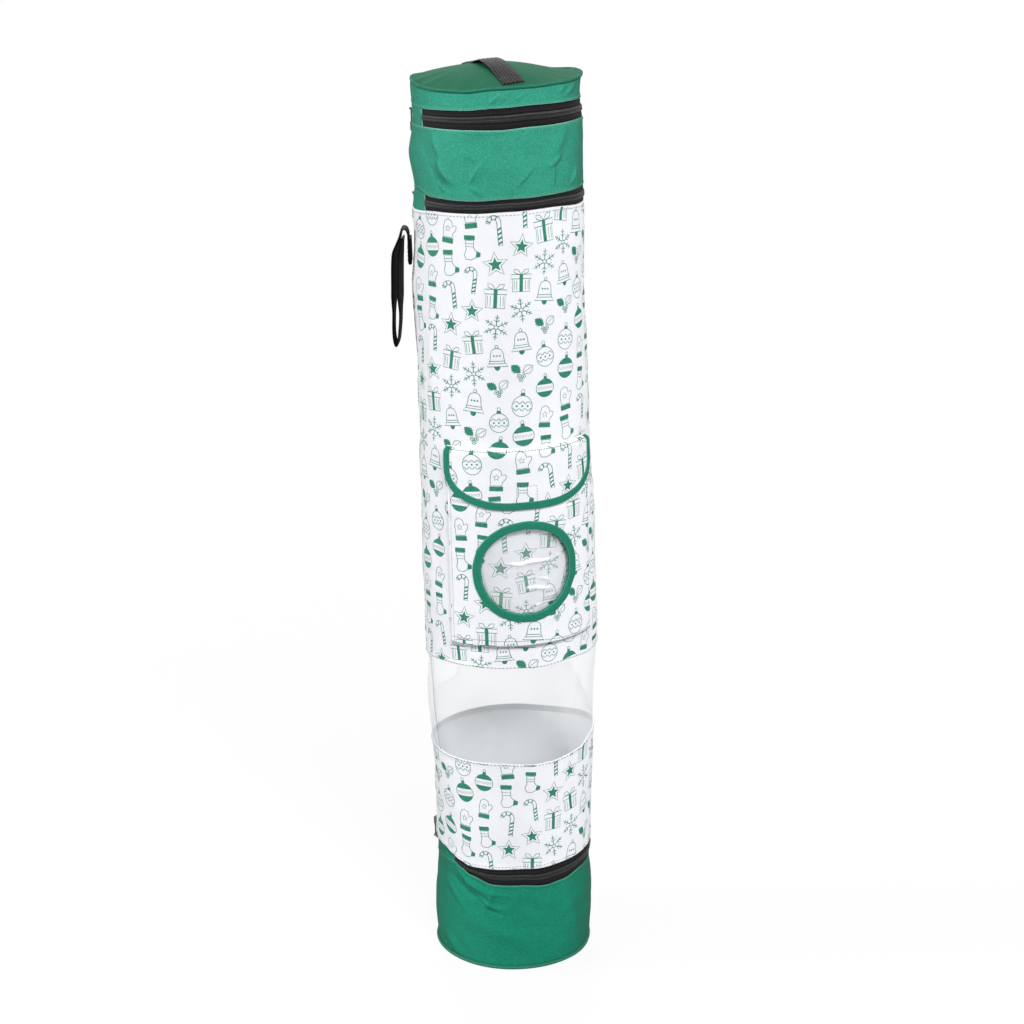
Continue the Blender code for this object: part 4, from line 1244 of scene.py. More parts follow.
def make_film_seam():
    """The upright overlap of the clear band, with its stitched binding, at the left."""
    first, last = tube_place(FILM_SEAM_TOP), tube_place(FILM_SEAM_FOOT)
    share, up = np.meshgrid(np.linspace(0, 0.009, 7), spread(WINDOW_LOW - 0.004, WINDOW_HIGH + 0.004, 0.003))
    along = (WINDOW_HIGH - up) / (WINDOW_HIGH - WINDOW_LOW)
    across = first[0] + (last[0] - first[0]) * along + share - 0.0045
    out = -CLOTH - LINING_GAP + 0.0001 + 0.0003 * bump(share - 0.0045, 0.006)
    cloth = Cloth().shell(wall_place(across, up, out + FILM), wall_place(across, up, out), joined(across, up))
    place_piece(cloth.make("clear_band_overlap", ["film"]), "main_tube", "clear_film")
    make_stitches(
        "clear_band_seam_stitches", [joined(across[:, 3], up[:, 3])], wall_place, "dark_thread", "main_tube",
        "clear_film", 0.0, length=0.003, gap=0.0006, width=0.0008)


def disc_grid(radii, steps):
    turn, far = np.meshgrid(np.linspace(-math.pi, math.pi, steps), radii)
    return turn, far, np.sin(turn), -np.cos(turn)


def cap_disc(cloth, ring, middle, upwards):
    points = np.stack([np.broadcast_to(np.array(middle, float), ring.shape), ring])
    cloth.grid(points, points[..., :2], flip=not upwards)


def make_disc(name, height, thickness, floor=False):
    """A stiffened round panel, a little uneven, with a turned edge."""
    radii = [*spread(0.0005, DISC_RADIUS - 0.002, 0.004), DISC_RADIUS - 0.001, DISC_RADIUS - 0.0003,
             DISC_RADIUS]
    turn, far, across, deep = disc_grid(radii, 121)
    stretch = 1 + bulge_out(turn, height) * (far / DISC_RADIUS) ** 2 / DISC_RADIUS
    across, deep = far * stretch * across, far * stretch * deep
    uneven = 0.0004 * ripple(turn, far * 3, WIDE_WAVES[:6]) * bump(far - DISC_RADIUS * 0.5, DISC_RADIUS * 0.5)
    edge = thickness * 0.5 * (1 - bump(far - DISC_RADIUS, 0.0012))
    top = height + thickness / 2 + edge + uneven
    low = height + thickness / 2 - edge + (0.0 if floor else uneven)
    flat = joined(across, deep)
    upper, lower = joined(across, deep, top), joined(across, deep, low)
    cloth = Cloth()
    cloth.grid(upper[:, ::-1], flat[:, ::-1], flip=True)
    cloth.grid(lower, flat, flip=True)
    cloth.grid(np.stack([lower[-1], upper[-1]]), np.stack([flat[-1], flat[-1]]))
    cap_disc(cloth, upper[0], (0, 0, float(top[0].mean())), True)
    cap_disc(cloth, lower[0], (0, 0, float(low[0].mean())), False)
    return cloth.make(name, ["lining"])


def make_piping(name, height, centre, thick, look, body, node):
    """A covered cord round an edge, its centre a little outside the tube's radius."""
    theta, round_cord = np.meshgrid(np.linspace(-math.pi, math.pi, 361), np.linspace(0, 2 * math.pi, 11))
    radius = thick * (1 + 0.05 * np.sin(theta * 150 + round_cord * 2))
    far = TUBE_RADIUS + centre + radius * np.cos(round_cord) + bulge_out(theta, height)
    up = height + radius * np.sin(round_cord) + rise_at(theta, np.full(theta.shape, height))
    flat = joined(theta * TUBE_RADIUS, round_cord * PIPING_RADIUS)
    cloth = Cloth()
    # Paler on the cord's upper outer side: a painted highlight.
    cloth.grid(joined(far * np.sin(theta), -far * np.cos(theta), up), flat, flip=True,
               mark=0.3 * bump(round_cord - math.pi * 0.25, 1.4))
    return place_piece(cloth.make(name, [look]), body, "green_fabric", node)


def make_cup():
    cup = make_wall("bottom_cup_cloth", CUP_LOW, CUP_HIGH, ("cup", "lining"), tuck=(0.0016, 0.0),
                    hems=(False, True), step=FINE_STEP)
    place_piece(cup, "bottom_cup", "green_fabric", "bottom_cup_wall")
    base = make_disc("base_cloth", 0.0, 0.002, floor=True)
    place_piece(base, "bottom_cup", "dark_green_fabric", "base_panel")
    make_piping("base_piping_cord", BASE_PIPING, 0.0004, 0.0019, "cup_piping", "bottom_cup", "base_piping")
    make_stitches("cup_hem_stitches", [ring_line(CUP_HIGH - HEM_STITCHES)], wall_place, "dark_thread",
                  "bottom_cup", "green_fabric", 0.0005)
    floor = make_disc("tube_floor_cloth", PRINT_LOW + GAP, 0.0015)
    place_piece(floor, "main_tube", "dark_green_fabric", "tube_floor_panel")


def make_compartment():
    low, high = COMPARTMENT_LOW, COMPARTMENT_HIGH
    wall = make_wall("compartment_cloth", low, high, ("green", "lining"), tuck=(0.0006, 0.0), step=FINE_STEP)
    place_piece(wall, "upper_compartment", "green_fabric", "compartment_wall")
    floor = make_disc("compartment_floor_cloth", low + GAP, 0.0015)
    place_piece(floor, "upper_compartment", "dark_green_fabric", "compartment_floor_panel")
    rows = [ring_line(low + HEM_STITCHES), ring_line(high - HEM_STITCHES),
            upright_line(BACK_SEAM, low + 0.004, high - 0.004)]
    make_stitches("compartment_hem_stitches", rows, wall_place, "pale_thread", "upper_compartment",
                  "green_fabric", 0.0004, width=0.0005)


# Zips
def zip_angles(zip_place):
    """Angles round the part of a zip that opens, from one end of its tab to the other."""
    angle, span = zip_place[3:5]
    start = math.radians(angle + span / 2)
    return start + spread(0, 2 * math.pi - math.radians(span), 0.003 / TUBE_RADIUS)


def make_tape(name, zip_place, low, high, body, node, seam_at_low):
    across, up = np.meshgrid(zip_angles(zip_place), np.linspace(low, high, 8))
    away = (up - low) if seam_at_low else (high - up)
    out = -TAPE_SET_BACK - 0.0002 * bump(away, 0.003)
    # The mark places the tape's painted highlight line near the coil.
    cloth = Cloth().shell(skin(across, up, out), skin(across, up, out - TAPE_THICKNESS),
                          joined(across * TUBE_RADIUS, up), mark=bump(away - 0.0035, 0.0012))
    place_piece(cloth.make(name, ["tape"]), body, "zip_tape", node)


def coil_height(middle, side, share):
    return middle + side * (SPLIT_GAP / 2 + share * (COIL_WIDTH - SPLIT_GAP / 2))


def make_coil(name, zip_place, middle, side, body, node):
    """Half of the zip: a low ridge, and slanted nylon teeth over it."""
    theta = zip_angles(zip_place)
    across, share = np.meshgrid(theta, np.linspace(0, 1, 7))
    up = coil_height(middle, side, share)
    out = COIL_HEIGHT * 0.62 * np.sqrt(np.clip(1 - (share * 1.02 - 0.02) ** 4, 0, 1)) + 0.0001
    outer, foot = skin(across, up, out), skin(across, up, 0.00005)
    flat = joined(across * TUBE_RADIUS, up)
    cloth = Cloth()
    cloth.grid(outer, flat, flip=side < 0)
    cloth.grid(foot, flat, flip=side > 0)
    for rows, columns in ((slice(0, 1), slice(None)), (slice(-1, None), slice(None)),
                          (slice(None), slice(0, 1)), (slice(None), slice(-1, None))):
        pair = [grid[rows, columns].reshape(-1, 3) for grid in (outer, foot)]
        places = flat[rows, columns].reshape(-1, 2)
        cloth.grid(np.stack(pair), np.stack([places, places]))
    add_teeth(cloth, theta, middle, side)
    place_piece(cloth.make(name, ["coil"]), body, "zip_coil", node)


def add_teeth(cloth, theta, middle, side):
    count = int((theta[-1] - theta[0]) * TUBE_RADIUS / TOOTH_PITCH)
    starts = theta[0] + (np.arange(count) + 0.5) * (theta[-1] - theta[0]) / count
    along = np.array([-0.42, -0.2, 0.2, 0.42]) * TOOTH_PITCH
    step, share = np.meshgrid(along, np.array([0.0, 0.18, 0.6, 1.0]))
    up = coil_height(middle, side, share)
    crown = 1 - 0.5 * (np.abs(step) / (0.42 * TOOTH_PITCH)) ** 2
    out = 0.0001 + COIL_HEIGHT * crown * np.array([0.72, 1.0, 0.92, 0.35])[:, None]
    for start in starts:
        across = start + (step + TOOTH_SLANT * (share - 0.5)) / TUBE_RADIUS
        cloth.grid(skin(across, up, out), joined(across * TUBE_RADIUS, up), flip=side < 0)


def make_tab(zip_place, look):
    """The fabric at the back of a zip, at its hinge."""
    name, low, high, angle, span, below, above = zip_place
    half = math.radians(span) / 2 - GAP / TUBE_RADIUS
    theta = math.radians(angle) + np.linspace(-half, half, 26)
    across, up = np.meshgrid(theta, np.linspace(low + GAP / 2, high - GAP / 2, 11))
    away = (half - np.abs(across - math.radians(angle))) * TUBE_RADIUS
    fold = 0.0004 * bump(up - (low + high) / 2, (high - low) / 2)
    outer, inner = (skin(across, up, out - fold) for out in (hem_roll(away, 0.003, 0.0006), -CLOTH))
    # Its side edges are marked to be painted paler: partly wear, partly painted highlight.
    cloth = Cloth().shell(outer, inner, joined(across * TUBE_RADIUS, up), 0, 1, mark=bump(away, 0.002))
    tab = cloth.make(name + "_hinge_cloth", [look, "lining"])
    start, end = tab_bend(name, theta, low, high)
    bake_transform(tab)
    place_piece(tab, None, "green_fabric", name + "_zip_hinge_tab")


def tab_bend(name, theta, low, high):
    """Where a tab's bend starts and ends: across a straight line between its slanting seams."""
    below, above = (skin(theta, np.full(theta.shape, height), 0.0) for height in (low, high))
    ends = [0, -1]
    shares = np.array(TAB_BEND_SHARES[name])
    first, last = below[ends] + (above[ends] - below[ends]) * shares[:, None]
    way = last - first
    run = (below[:, :2] - first[:2]) @ way[:2] / (way[:2] @ way[:2])
    line = first[2] + way[2] * run
    half = 0.95 * min((above[:, 2] - line).min(), (line - below[:, 2]).min())
    slant = way[:2] * way[2] / (way[:2] @ way[:2])
    across = np.array([-slant[0], -slant[1], 1.0])
    across = across / np.linalg.norm(across)
    centre = (below[len(theta) // 2] + above[len(theta) // 2]) / 2
    centre[2] = first[2] + slant @ (centre[:2] - first[:2])
    return tuple(centre - across * half), tuple(centre + across * half)


def make_zips():
    for zip_place in ZIPS:
        name, low, high, angle, span, below, above = zip_place
        middle = (low + high) / 2
        make_tape(f"{name}_lower_tape_cloth", zip_place, low + GAP / 2, middle - SPLIT_GAP / 2, below,
                  f"{name}_zip_lower_tape", True)
        make_tape(f"{name}_upper_tape_cloth", zip_place, middle + SPLIT_GAP / 2, high - GAP / 2, above,
                  f"{name}_zip_upper_tape", False)
        for half, side, body in (("lower", -1, below), ("upper", 1, above)):
            make_coil(f"{name}_{half}_teeth", zip_place, middle, side, body, f"{name}_zip_{half}_coil")
        make_tab(zip_place, "cup" if name == "bottom" else "green")
        for part in ("slider", "pull"):
            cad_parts[f"{name}_zip_{part}"].data.materials[0] = LOOKS["lacquer"]


# Lid
def dome_height(across, deep):
    """The lid panel's top: crowned, with its edge drawn down along the rim."""
    far = np.hypot(across, deep)
    theta = np.arctan2(across, -deep)
    share = np.clip(far / DISC_RADIUS, 0, 1.0)
    lip = 1 + DOME_LIP * bump(in_turn(np.degrees(theta) - 76), 80)
    crown = DOME_CROWN * (1 - share ** 2) ** lip
    rim = rise_at(theta, np.full(np.shape(theta), LID_HIGH)) * share ** 2
    pucker = 0.0004 * np.sin(theta * 23) * share ** 6 + 0.0003 * ripple(theta, far, WIDE_WAVES[:7]) * share
    return LID_HIGH + crown + rim + pucker


def make_lid():
    band = make_wall("lid_band_cloth", LID_LOW, LID_HIGH, ("green", "lining"), tuck=(0.0, 0.0024),
                     hems=(True, False), step=FINE_STEP)
    place_piece(band, "lid", "green_fabric", "lid_side_band")
    make_stitches("lid_hem_stitches", [ring_line(LID_LOW + HEM_STITCHES)], wall_place, "pale_thread", "lid",
                  "green_fabric", 0.0004, width=0.0005)
    turn, far, across, deep = disc_grid([*spread(0.0004, 0.080, 0.0032), 0.0815, 0.0826, DOME_RADIUS], 181)
    across, deep = far * across, far * deep
    top = dome_height(across, deep) - 0.0005 - 0.0006 * bump(far - DOME_RADIUS, 0.0016)
    flat = joined(across, deep)
    upper = joined(across, deep, top)
    lower = upper - np.array([0, 0, DOME_CLOTH])
    middle = float(top[0].mean())
    cloth = Cloth()
    # The rim is marked to be painted paler: partly wear, partly a painted highlight.
    cloth.grid(upper, flat, flip=True, mark=0.2 * bump(far - DOME_RADIUS, 0.003))
    cloth.grid(lower, flat, slot=1)
    cloth.grid(np.stack([lower[-1], upper[-1]]), np.stack([flat[-1], flat[-1]]))
    cap_disc(cloth, upper[0], (0, 0, middle), False)
    cap_disc(cloth, lower[0], (0, 0, middle - DOME_CLOTH), True)
    place_piece(cloth.make("lid_panel_cloth", ["lid", "lining"]), "lid", "dark_green_fabric", "lid_panel")
    make_piping("lid_piping_cord", LID_PIPING, -0.0005, 0.0017, "piping", "lid", "lid_piping")
    make_grab_strap()


def grab_place(across, along):
    """A place on the strap, in the lid's own directions: turned a little, and bent at its back."""
    across = across + GRAB_SIDEWAYS
    turned = (math.cos(GRAB_TURN) * across - math.sin(GRAB_TURN) * along,
              math.sin(GRAB_TURN) * across + math.cos(GRAB_TURN) * along)
    return turned[0] + GRAB_BEND * np.maximum(along, 0) ** 2, turned[1]


def make_grab_strap():
    """The webbing handle: feet sewn to the dome, and an arch between them."""
    share = np.linspace(-1, 1, 17)
    run, side = np.meshgrid(spread(-GRAB_HALF, GRAB_HALF, 0.002), share, indexing="ij")
    wide = side * GRAB_WIDTH / 2
    across, deep = grab_place(wide, run)
    free = GRAB_HALF - GRAB_FOOT
    arch = GRAB_ARCH * bump(run - GRAB_TOP, np.where(run < GRAB_TOP, free + GRAB_TOP, 0.030))
    twist = 0.0008 * np.sin(run * 60) * side
    low = dome_height(across, deep) + GRAB_OFF + arch + twist * (np.abs(run) < free)
    edge = np.clip(1 - np.abs(side) ** 8, 0, 1) ** 0.5
    ribs = 0.00018 * np.cos(side * math.pi * 5.5)
    half = GRAB_THICKNESS * 0.5
    upper = joined(across, deep, low + half + (half + ribs) * edge)
    lower = joined(across, deep, low + half - half * edge)
    cloth = Cloth().shell(upper[:, ::-1], lower[:, ::-1], joined(wide, run)[:, ::-1])
    place_piece(cloth.make("lid_grab_webbing", ["grab"]), "lid", "black_webbing", "lid_grab_strap")

    def on_strap(across, up, offset):
        across, deep = grab_place(across, up)
        return joined(across, deep, dome_height(across, deep) + GRAB_OFF + GRAB_THICKNESS + offset)

    rows = [even_points(box_line(-0.009, 0.009, end * (GRAB_HALF - 0.0085), end * (GRAB_HALF - 0.002)), 8)
            for end in (-1, 1)]
    make_stitches("grab_strap_stitches", rows, on_strap, "black_thread", "lid", "black_webbing", 0.0001,
                  length=0.0018, gap=0.0008)


# Pocket
def pocket_shape(across, up, thin):
    """How deep the pocket's sides, bottom and front stand off the wall."""
    rounds = [np.sqrt(np.clip(1 - (1 - np.clip(away / POCKET_ROUND, 0, 1)) ** 2, 0, 1))
              for away in (POCKET_WIDTH / 2 - np.abs(across), up - POCKET_LOW)]
    return GAP + (POCKET_DEPTH - GAP - thin) * rounds[0] * rounds[1]


def pocket_place(across, up, offset):
    roll = hem_roll(POCKET_HIGH - up, 0.008, 0.0004) + hem_roll(up - POCKET_LOW, 0.008, 0.0003)
    return panel(across, up, pocket_shape(across, up, 0) + roll + offset)


def make_pocket():
    half = POCKET_WIDTH / 2
    edge = np.array([0.0, 0.0005, 0.0012, 0.0022])
    inside = spread(-half + SEAM_MARGIN, half - SEAM_MARGIN, 0.0022)
    arcs = np.concatenate([-half + edge, inside, half - edge[::-1]])
    heights = np.concatenate([POCKET_LOW + edge, spread(POCKET_LOW + SEAM_MARGIN, POCKET_HIGH, 0.0022)])
    across, up = np.meshgrid(arcs, heights)
    # The sides and top are marked to be painted paler: partly wear, partly painted highlight.
    mark = np.maximum(bump(half - np.abs(across), 0.003), bump(POCKET_HIGH - up, 0.003))
    inner = panel(across * (1 - 0.0009 / half), np.maximum(up, POCKET_LOW + 0.0009),
                  pocket_shape(across, up, POCKET_CLOTH))
    middle = (across[:-1, :-1] + across[1:, 1:]) / 2, (up[:-1, :-1] + up[1:, 1:]) / 2
    keep = np.hypot(middle[0], middle[1] - RING_CENTRE) > RING_MIDDLE
    cloth = Cloth().shell(pocket_place(across, up, 0), inner, joined(across, up), 0, 1, keep=keep, mark=mark)
    place_piece(cloth.make("pocket_cloth", WHITE_CLOTH), *PRINTED, "pocket_panel")
    hole = (0.0, RING_CENTRE, RING_MIDDLE - 0.001)
    limits = ((-half + 0.002, half - 0.002), (POCKET_LOW + 0.002, POCKET_HIGH - 0.0005))
    place_piece(print_motifs("pocket_motifs", pocket_place, limits, POCKET_PRINT, hole), *PRINTED)
    make_film_disc()
    make_ring()
    across = np.linspace(-half + 0.002, half - 0.002, 80)
    rows = [joined(across, np.interp(across, *zip(*line))) for line in POCKET_HEM_LINES]
    make_stitches("pocket_hem_stitches", rows, pocket_place, "dark_thread", *PRINTED, 0.0002, width=0.0005,
                  gap=0.0007)
    up = np.linspace(POCKET_LOW + 0.002, POCKET_HIGH, 50)
    sides = [joined(side * (half - 0.0045), up) for side in (-1, 1)]
    make_stitches("pocket_side_stitches", sides, pocket_place, "grey_thread", *PRINTED, 0.0002, width=0.0004,
                  gap=0.0007)


def make_film_disc():
    """Clear film behind the round hole, a little rumpled, with painted glints along its folds."""
    radius = RING_INNER + RING_WIDTH - 0.0015
    turn, far = np.meshgrid(np.linspace(0, 2 * math.pi, 97), spread(0.0006, radius, 0.0018))
    across, up = far * np.cos(turn), RING_CENTRE + far * np.sin(turn)
    rumple = 0.0004 * np.sin(up * 190 + across * 60) + 0.0002 * np.sin(across * 330 + up * 90)
    glint_mask = np.zeros(across.shape)
    for (left, first), (right, last), width, tall in FILM_FOLDS:
        along = np.clip((across - left) / (right - left), 0, 1)
        over = up - (first + (last - first) * along + 0.0008 * np.sin(across * 230))
        ends = bump(across - (left + right) / 2, (right - left) / 2 + 0.004)
        ledge = np.where(over < 0, bump(over, 0.013), 1 - np.clip(over / width, 0, 1))
        rumple = rumple + tall * ledge * ends ** 0.5
        # This fold mask places the film's painted glints.
        glint_mask = np.maximum(glint_mask, bump(over - width / 2, width * 0.7) * ends)
    out = POCKET_DEPTH - 0.0026 + rumple * smooth(radius - far, 0.0, 0.012)
    flat = joined(across, up)
    outer, inner = panel(across, up, out), panel(across, up, out - 0.00025)
    cloth = Cloth()
    cloth.grid(outer, flat, flip=True, mark=glint_mask)
    cloth.grid(inner, flat)
    cloth.grid(np.stack([outer[-1], inner[-1]]), np.stack([flat[-1], flat[-1]]), flip=True)
    for ring, flip in ((outer[0], True), (inner[0], False)):
        centre = np.broadcast_to(ring.mean(0), ring.shape)
        cloth.grid(np.stack([centre, ring]), np.stack([flat[0], flat[0]]), flip=flip)
    film = cloth.make("pocket_window_film_disc", ["film"])
    place_piece(film, "main_tube", "clear_film", "pocket_window_film")


def make_ring():
    """The round window's binding: a folded tape, stitched near both of its edges."""
    turn = np.linspace(0, 2 * math.pi, 145)
    theta, side = np.meshgrid(turn, [-1, -0.97, -0.85, -0.6, -0.3, 0, 0.3, 0.6, 0.85, 0.97, 1])
    radius = RING_MIDDLE + side * RING_WIDTH / 2
    radius = radius + 0.0002 * np.sin(theta * 3 + 1) + 0.0001 * np.sin(theta * 17)
    across, up = 1.018 * radius * np.cos(theta), RING_CENTRE + radius * np.sin(theta)
    puckers = 0.00012 * np.sin(theta * 90) * bump(np.abs(side) - 0.8, 0.5)
    tall = RING_THICKNESS * np.clip(1 - np.abs(side) ** 6, 0, 1) ** 0.5 + puckers
    top, foot = POCKET_DEPTH + 0.0007 + tall, np.full(across.shape, POCKET_DEPTH - 0.0009)
    flat = joined(theta * RING_MIDDLE, side * RING_WIDTH / 2)
    cloth = Cloth()
    # The binding's edges are marked to be painted paler: partly wear, partly painted highlight.
    cloth.grid(panel(across, up, top), flat, flip=True, mark=bump(np.abs(side) - 1, 0.35))
    cloth.grid(panel(across, up, foot), flat)
    for row in (0, -1):
        pair = [panel(across[row], up[row], out[row]) for out in (top, foot)]
        cloth.grid(np.stack(pair), np.stack([flat[row], flat[row]]), flip=row == 0)
    ring = cloth.make("pocket_window_binding_tape", ["binding"])
    place_piece(ring, "main_tube", "green_binding", "pocket_window_binding")
    rows = [joined(far * np.cos(turn), RING_CENTRE + far * np.sin(turn))
            for far in (RING_INNER + 0.0016, RING_INNER + RING_WIDTH - 0.0014)]
    make_stitches("window_binding_stitches", rows, panel, "dark_thread", "main_tube", "green_binding",
                  POCKET_DEPTH + 0.0016, width=0.0005)


# Flap
def flap_low(across):
    """The height of the flap's lower edge: flat in the middle, with round corners."""
    share = np.clip((np.abs(across) - FLAP_LEVEL) / (FLAP_HALF - FLAP_LEVEL), 0, 1)
    return FLAP_LOW + (FLAP_SIDE_LOW - FLAP_LOW) * (1 - np.sqrt(np.clip(1 - share ** 2, 0, 1)))


def flap_columns():
    """Places across the flap, close together at its round corners."""
    right = FLAP_LEVEL + (FLAP_HALF - FLAP_LEVEL) * np.sin(np.radians(np.linspace(0, 90, 25)))
    return np.concatenate([-right[::-1], np.linspace(-FLAP_LEVEL, FLAP_LEVEL, 19)[1:-1], right])


def bend_flap(thing, slot, *nodes):
    """Hides the nodes that a piece of the flap replaces and bakes its transform into its mesh."""
    place_piece(thing, None, slot, *nodes)
    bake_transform(thing)
    return thing


def make_flap():
    columns = flap_columns()
    sewn = (0, 0.0012, 0.003, 0.005, FLAP_HIGH - FLAP_FOLD)
    rows = [np.full(columns.shape, FLAP_HIGH - away) for away in sewn]
    rows += [FLAP_FOLD + (flap_low(columns) - FLAP_FOLD) * share for share in np.linspace(0, 1, 26)[1:]]
    up = np.stack(rows)[::-1]
    across = np.broadcast_to(columns, up.shape)
    outer, inner = (flap_skin(across, up, offset) for offset in (FLAP_CLOTH, 0))
    # The sewn top edge is marked to be painted paler: partly wear, partly painted highlight.
    cloth = Cloth().shell(outer, inner, joined(across, up), 0, 1, mark=bump(FLAP_HIGH - up, 0.0025))
    flap = bend_flap(cloth.make("flap_cloth", WHITE_CLOTH), "print_fabric", "pocket_flap", "flap_seam_strip")
    binding = make_flap_binding()
    ink = make_flap_print()
    stitches = make_flap_stitches()
    for node, look in (("flap_hook_patch", "hook"), ("pocket_loop_patch", "loop")):
        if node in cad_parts:
            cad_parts[node].data.materials[0] = LOOKS[look]


def flap_edge_line():
    columns = flap_columns()
    sides = np.linspace(FLAP_HIGH - 0.0003, FLAP_SIDE_LOW, 12)[:-1]
    lower = joined(columns, flap_low(columns))
    return np.vstack([joined(-FLAP_HALF, sides), lower, joined(FLAP_HALF, sides[::-1])])


def inwards_from(line, away):
    """The same line moved towards the flap's middle."""
    way = unit(np.gradient(line, axis=0))
    return line + joined(-way[:, 1], way[:, 0]) * away


def make_flap_binding():
    line = flap_edge_line()
    shares = np.array([0, 0.03, 0.12, 0.35, 0.6, 0.85, 0.96, 1.0])
    places = np.stack([inwards_from(line, FLAP_BINDING * share) for share in shares])
    side = np.abs(shares * 2 - 1)[:, None]
    run = run_along(line)
    tall = 0.0007 * np.clip(1 - side ** 8, 0, 1) ** 0.5 + 0.00008 * np.sin(run * 2 * math.pi / 0.0038) * side
    outer, inner = (flap_skin(places[..., 0], places[..., 1], FLAP_CLOTH + out)
                    for out in (0.0002 + tall, 0.0001))
    # The binding's edges are marked to be painted paler: partly wear, partly painted highlight.
    cloth = Cloth().shell(outer, inner, joined(run[None, :], (shares * FLAP_BINDING)[:, None]),
                          mark=np.broadcast_to(bump(side - 1, 0.3), tall.shape))
    return bend_flap(cloth.make("flap_binding_tape", ["binding"]), "green_binding", "flap_binding")


def make_flap_print():
    """The flap's print, without what lies beyond its round corners, under the binding."""
    def place(across, up, offset):
        return flap_skin(across, up, FLAP_CLOTH + offset)

    limits = ((-FLAP_HALF + 0.001, FLAP_HALF - 0.001), (FLAP_LOW + 0.001, FLAP_HIGH - 0.0006))
    ink = print_motifs("flap_motifs", place, limits, FLAP_PRINT)
    cloth_places = ink.data.uv_layers["weave"].data
    flat = {loop.vertex_index: cloth_places[loop.index].uv.copy() for loop in ink.data.loops}
    with editing(ink.data) as work:
        gone = []
        for vertex in work.verts:
            spot = flat.get(vertex.index)
            if spot is None or spot.y < float(flap_low(spot.x)) + 0.0025:
                gone.append(vertex)
        bmesh.ops.delete(work, geom=gone, context="VERTS")
    return bend_flap(ink, "print_fabric")


def make_flap_stitches():
    """Threads along the binding and the sewn edge, and round the fastener."""
    def place(across, up, offset):
        over = (up - flap_low(across) < FLAP_BINDING) | (np.abs(across) > FLAP_HALF - FLAP_BINDING)
        return flap_skin(across, up, FLAP_CLOTH + 0.0001 + np.where(over, 0.0009, 0.0) + offset)

    half = FASTENER_SIZE / 2
    box = box_line(-half, half, FASTENER_HEIGHT - half, FASTENER_HEIGHT + half)
    rows = Drawing()
    rows.stitches(inwards_from(flap_edge_line(), FLAP_BINDING - 0.0012), width=0.0005)
    for line in (joined(np.linspace(-FLAP_HALF + 0.002, FLAP_HALF - 0.002, 60), FLAP_HIGH - 0.0022),
                 even_points(box, 8)):
        rows.stitches(line, width=0.0004, gap=0.0007)
    return bend_flap(rows.make("flap_stitches", place, "dark_thread", 0.0), "print_fabric")


# Carry strap
def smooth_path(points, steps):
    """A Catmull-Rom curve through points, evenly cut."""
    points = np.asarray(points, float)
    ends = np.vstack([2 * points[0] - points[1], points, 2 * points[-1] - points[-2]])
    curve = []
    for index in range(len(points) - 1):
        a, b, c, d = ends[index:index + 4]
        for share in np.linspace(0, 1, steps, endpoint=False):
            curve.append(0.5 * (2 * b + (c - a) * share + (2 * a - 5 * b + 4 * c - d) * share ** 2
                                + (3 * b - a - 3 * c + d) * share ** 3))
    return np.array(curve + [points[-1]])


def carry_places(across, out, height):
    """Points by the carry strap: along the wall, out from it, and up, with the loop's twist."""
    foot = skin(np.array([CARRY_ANGLE]), np.array([0.7555]), np.array([0.0]), 0.0)[0]
    outwards = np.array([math.sin(CARRY_ANGLE), -math.cos(CARRY_ANGLE)])
    sideways = np.array([math.cos(CARRY_ANGLE), math.sin(CARRY_ANGLE)])
    turn = CARRY_TWIST * smooth(-height, -0.797, -0.768) * smooth(out, 0.0045, 0.0095)
    turn = turn * (1 - 0.68 * smooth(-height, -0.730, -0.706))
    out = out + across * np.sin(turn)
    across = across * np.cos(turn)
    flat = foot[:2] + out[..., None] * outwards + across[..., None] * sideways
    return np.concatenate([flat, height[..., None]], axis=-1)


def make_carry_strap():
    """One strap of webbing: sewn to the wall, folded over, and hanging as a loop."""
    line = smooth_path(CARRY_LINE, 6)
    way = unit(np.gradient(line, axis=0))
    aside = joined(way[:, 1], -way[:, 0])
    share = np.linspace(-1, 1, 15)
    edge = np.clip(1 - np.abs(share) ** 10, 0, 1) ** 0.5
    ribs = 0.00012 * np.cos(share * math.pi * 5.5)
    across, along = np.meshgrid(share * CARRY_WIDTH / 2, run_along(line))
    sides = []
    for sign in (1, -1):
        away = sign * (CARRY_THICKNESS / 2 * (0.25 + 0.75 * edge) + ribs)[None, :]
        sides.append(carry_places(across, *(line[:, i:i + 1] + aside[:, i:i + 1] * away for i in (0, 1))))
    strap = Cloth().shell(*sides, joined(across, along)).make("carry_strap_webbing", ["webbing"])
    place_piece(strap, None, "black_webbing", "carry_strap_end", "carry_strap_loop")
    inner, outer = (carry_places(np.array(0.0), np.array(out), np.array(0.78)) for out in (0.0046, 0.0082))
    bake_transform(strap)

    def on_strap(across, up, offset):
        return carry_places(across, 0.0033 + CARRY_THICKNESS / 2 + 0.0001 + offset, up)

    low, high, half = 0.7630, 0.7790, 0.0100
    box = [*box_line(-half, half, low, high), (half, high)]
    rows = [even_points(box, 10), np.linspace((-half, high), (half, low), 12)]
    make_stitches("carry_strap_stitches", rows, on_strap, "black_thread", "main_tube", "black_webbing",
                  0.0001)


# Stage
def seen_directly(tree):
    """1 for rays from the camera, or mirrored or let through by what the camera sees."""
    camera, glossy, through = (add_node(tree, "LightPath")[f"Is {kind} Ray"]
                               for kind in ("Camera", "Glossy", "Transmission"))
    either = add_node(tree, "Math", {0: camera, 1: glossy}, operation="MAXIMUM")[0]
    return add_node(tree, "Math", {0: either, 1: through}, operation="MAXIMUM")[0]


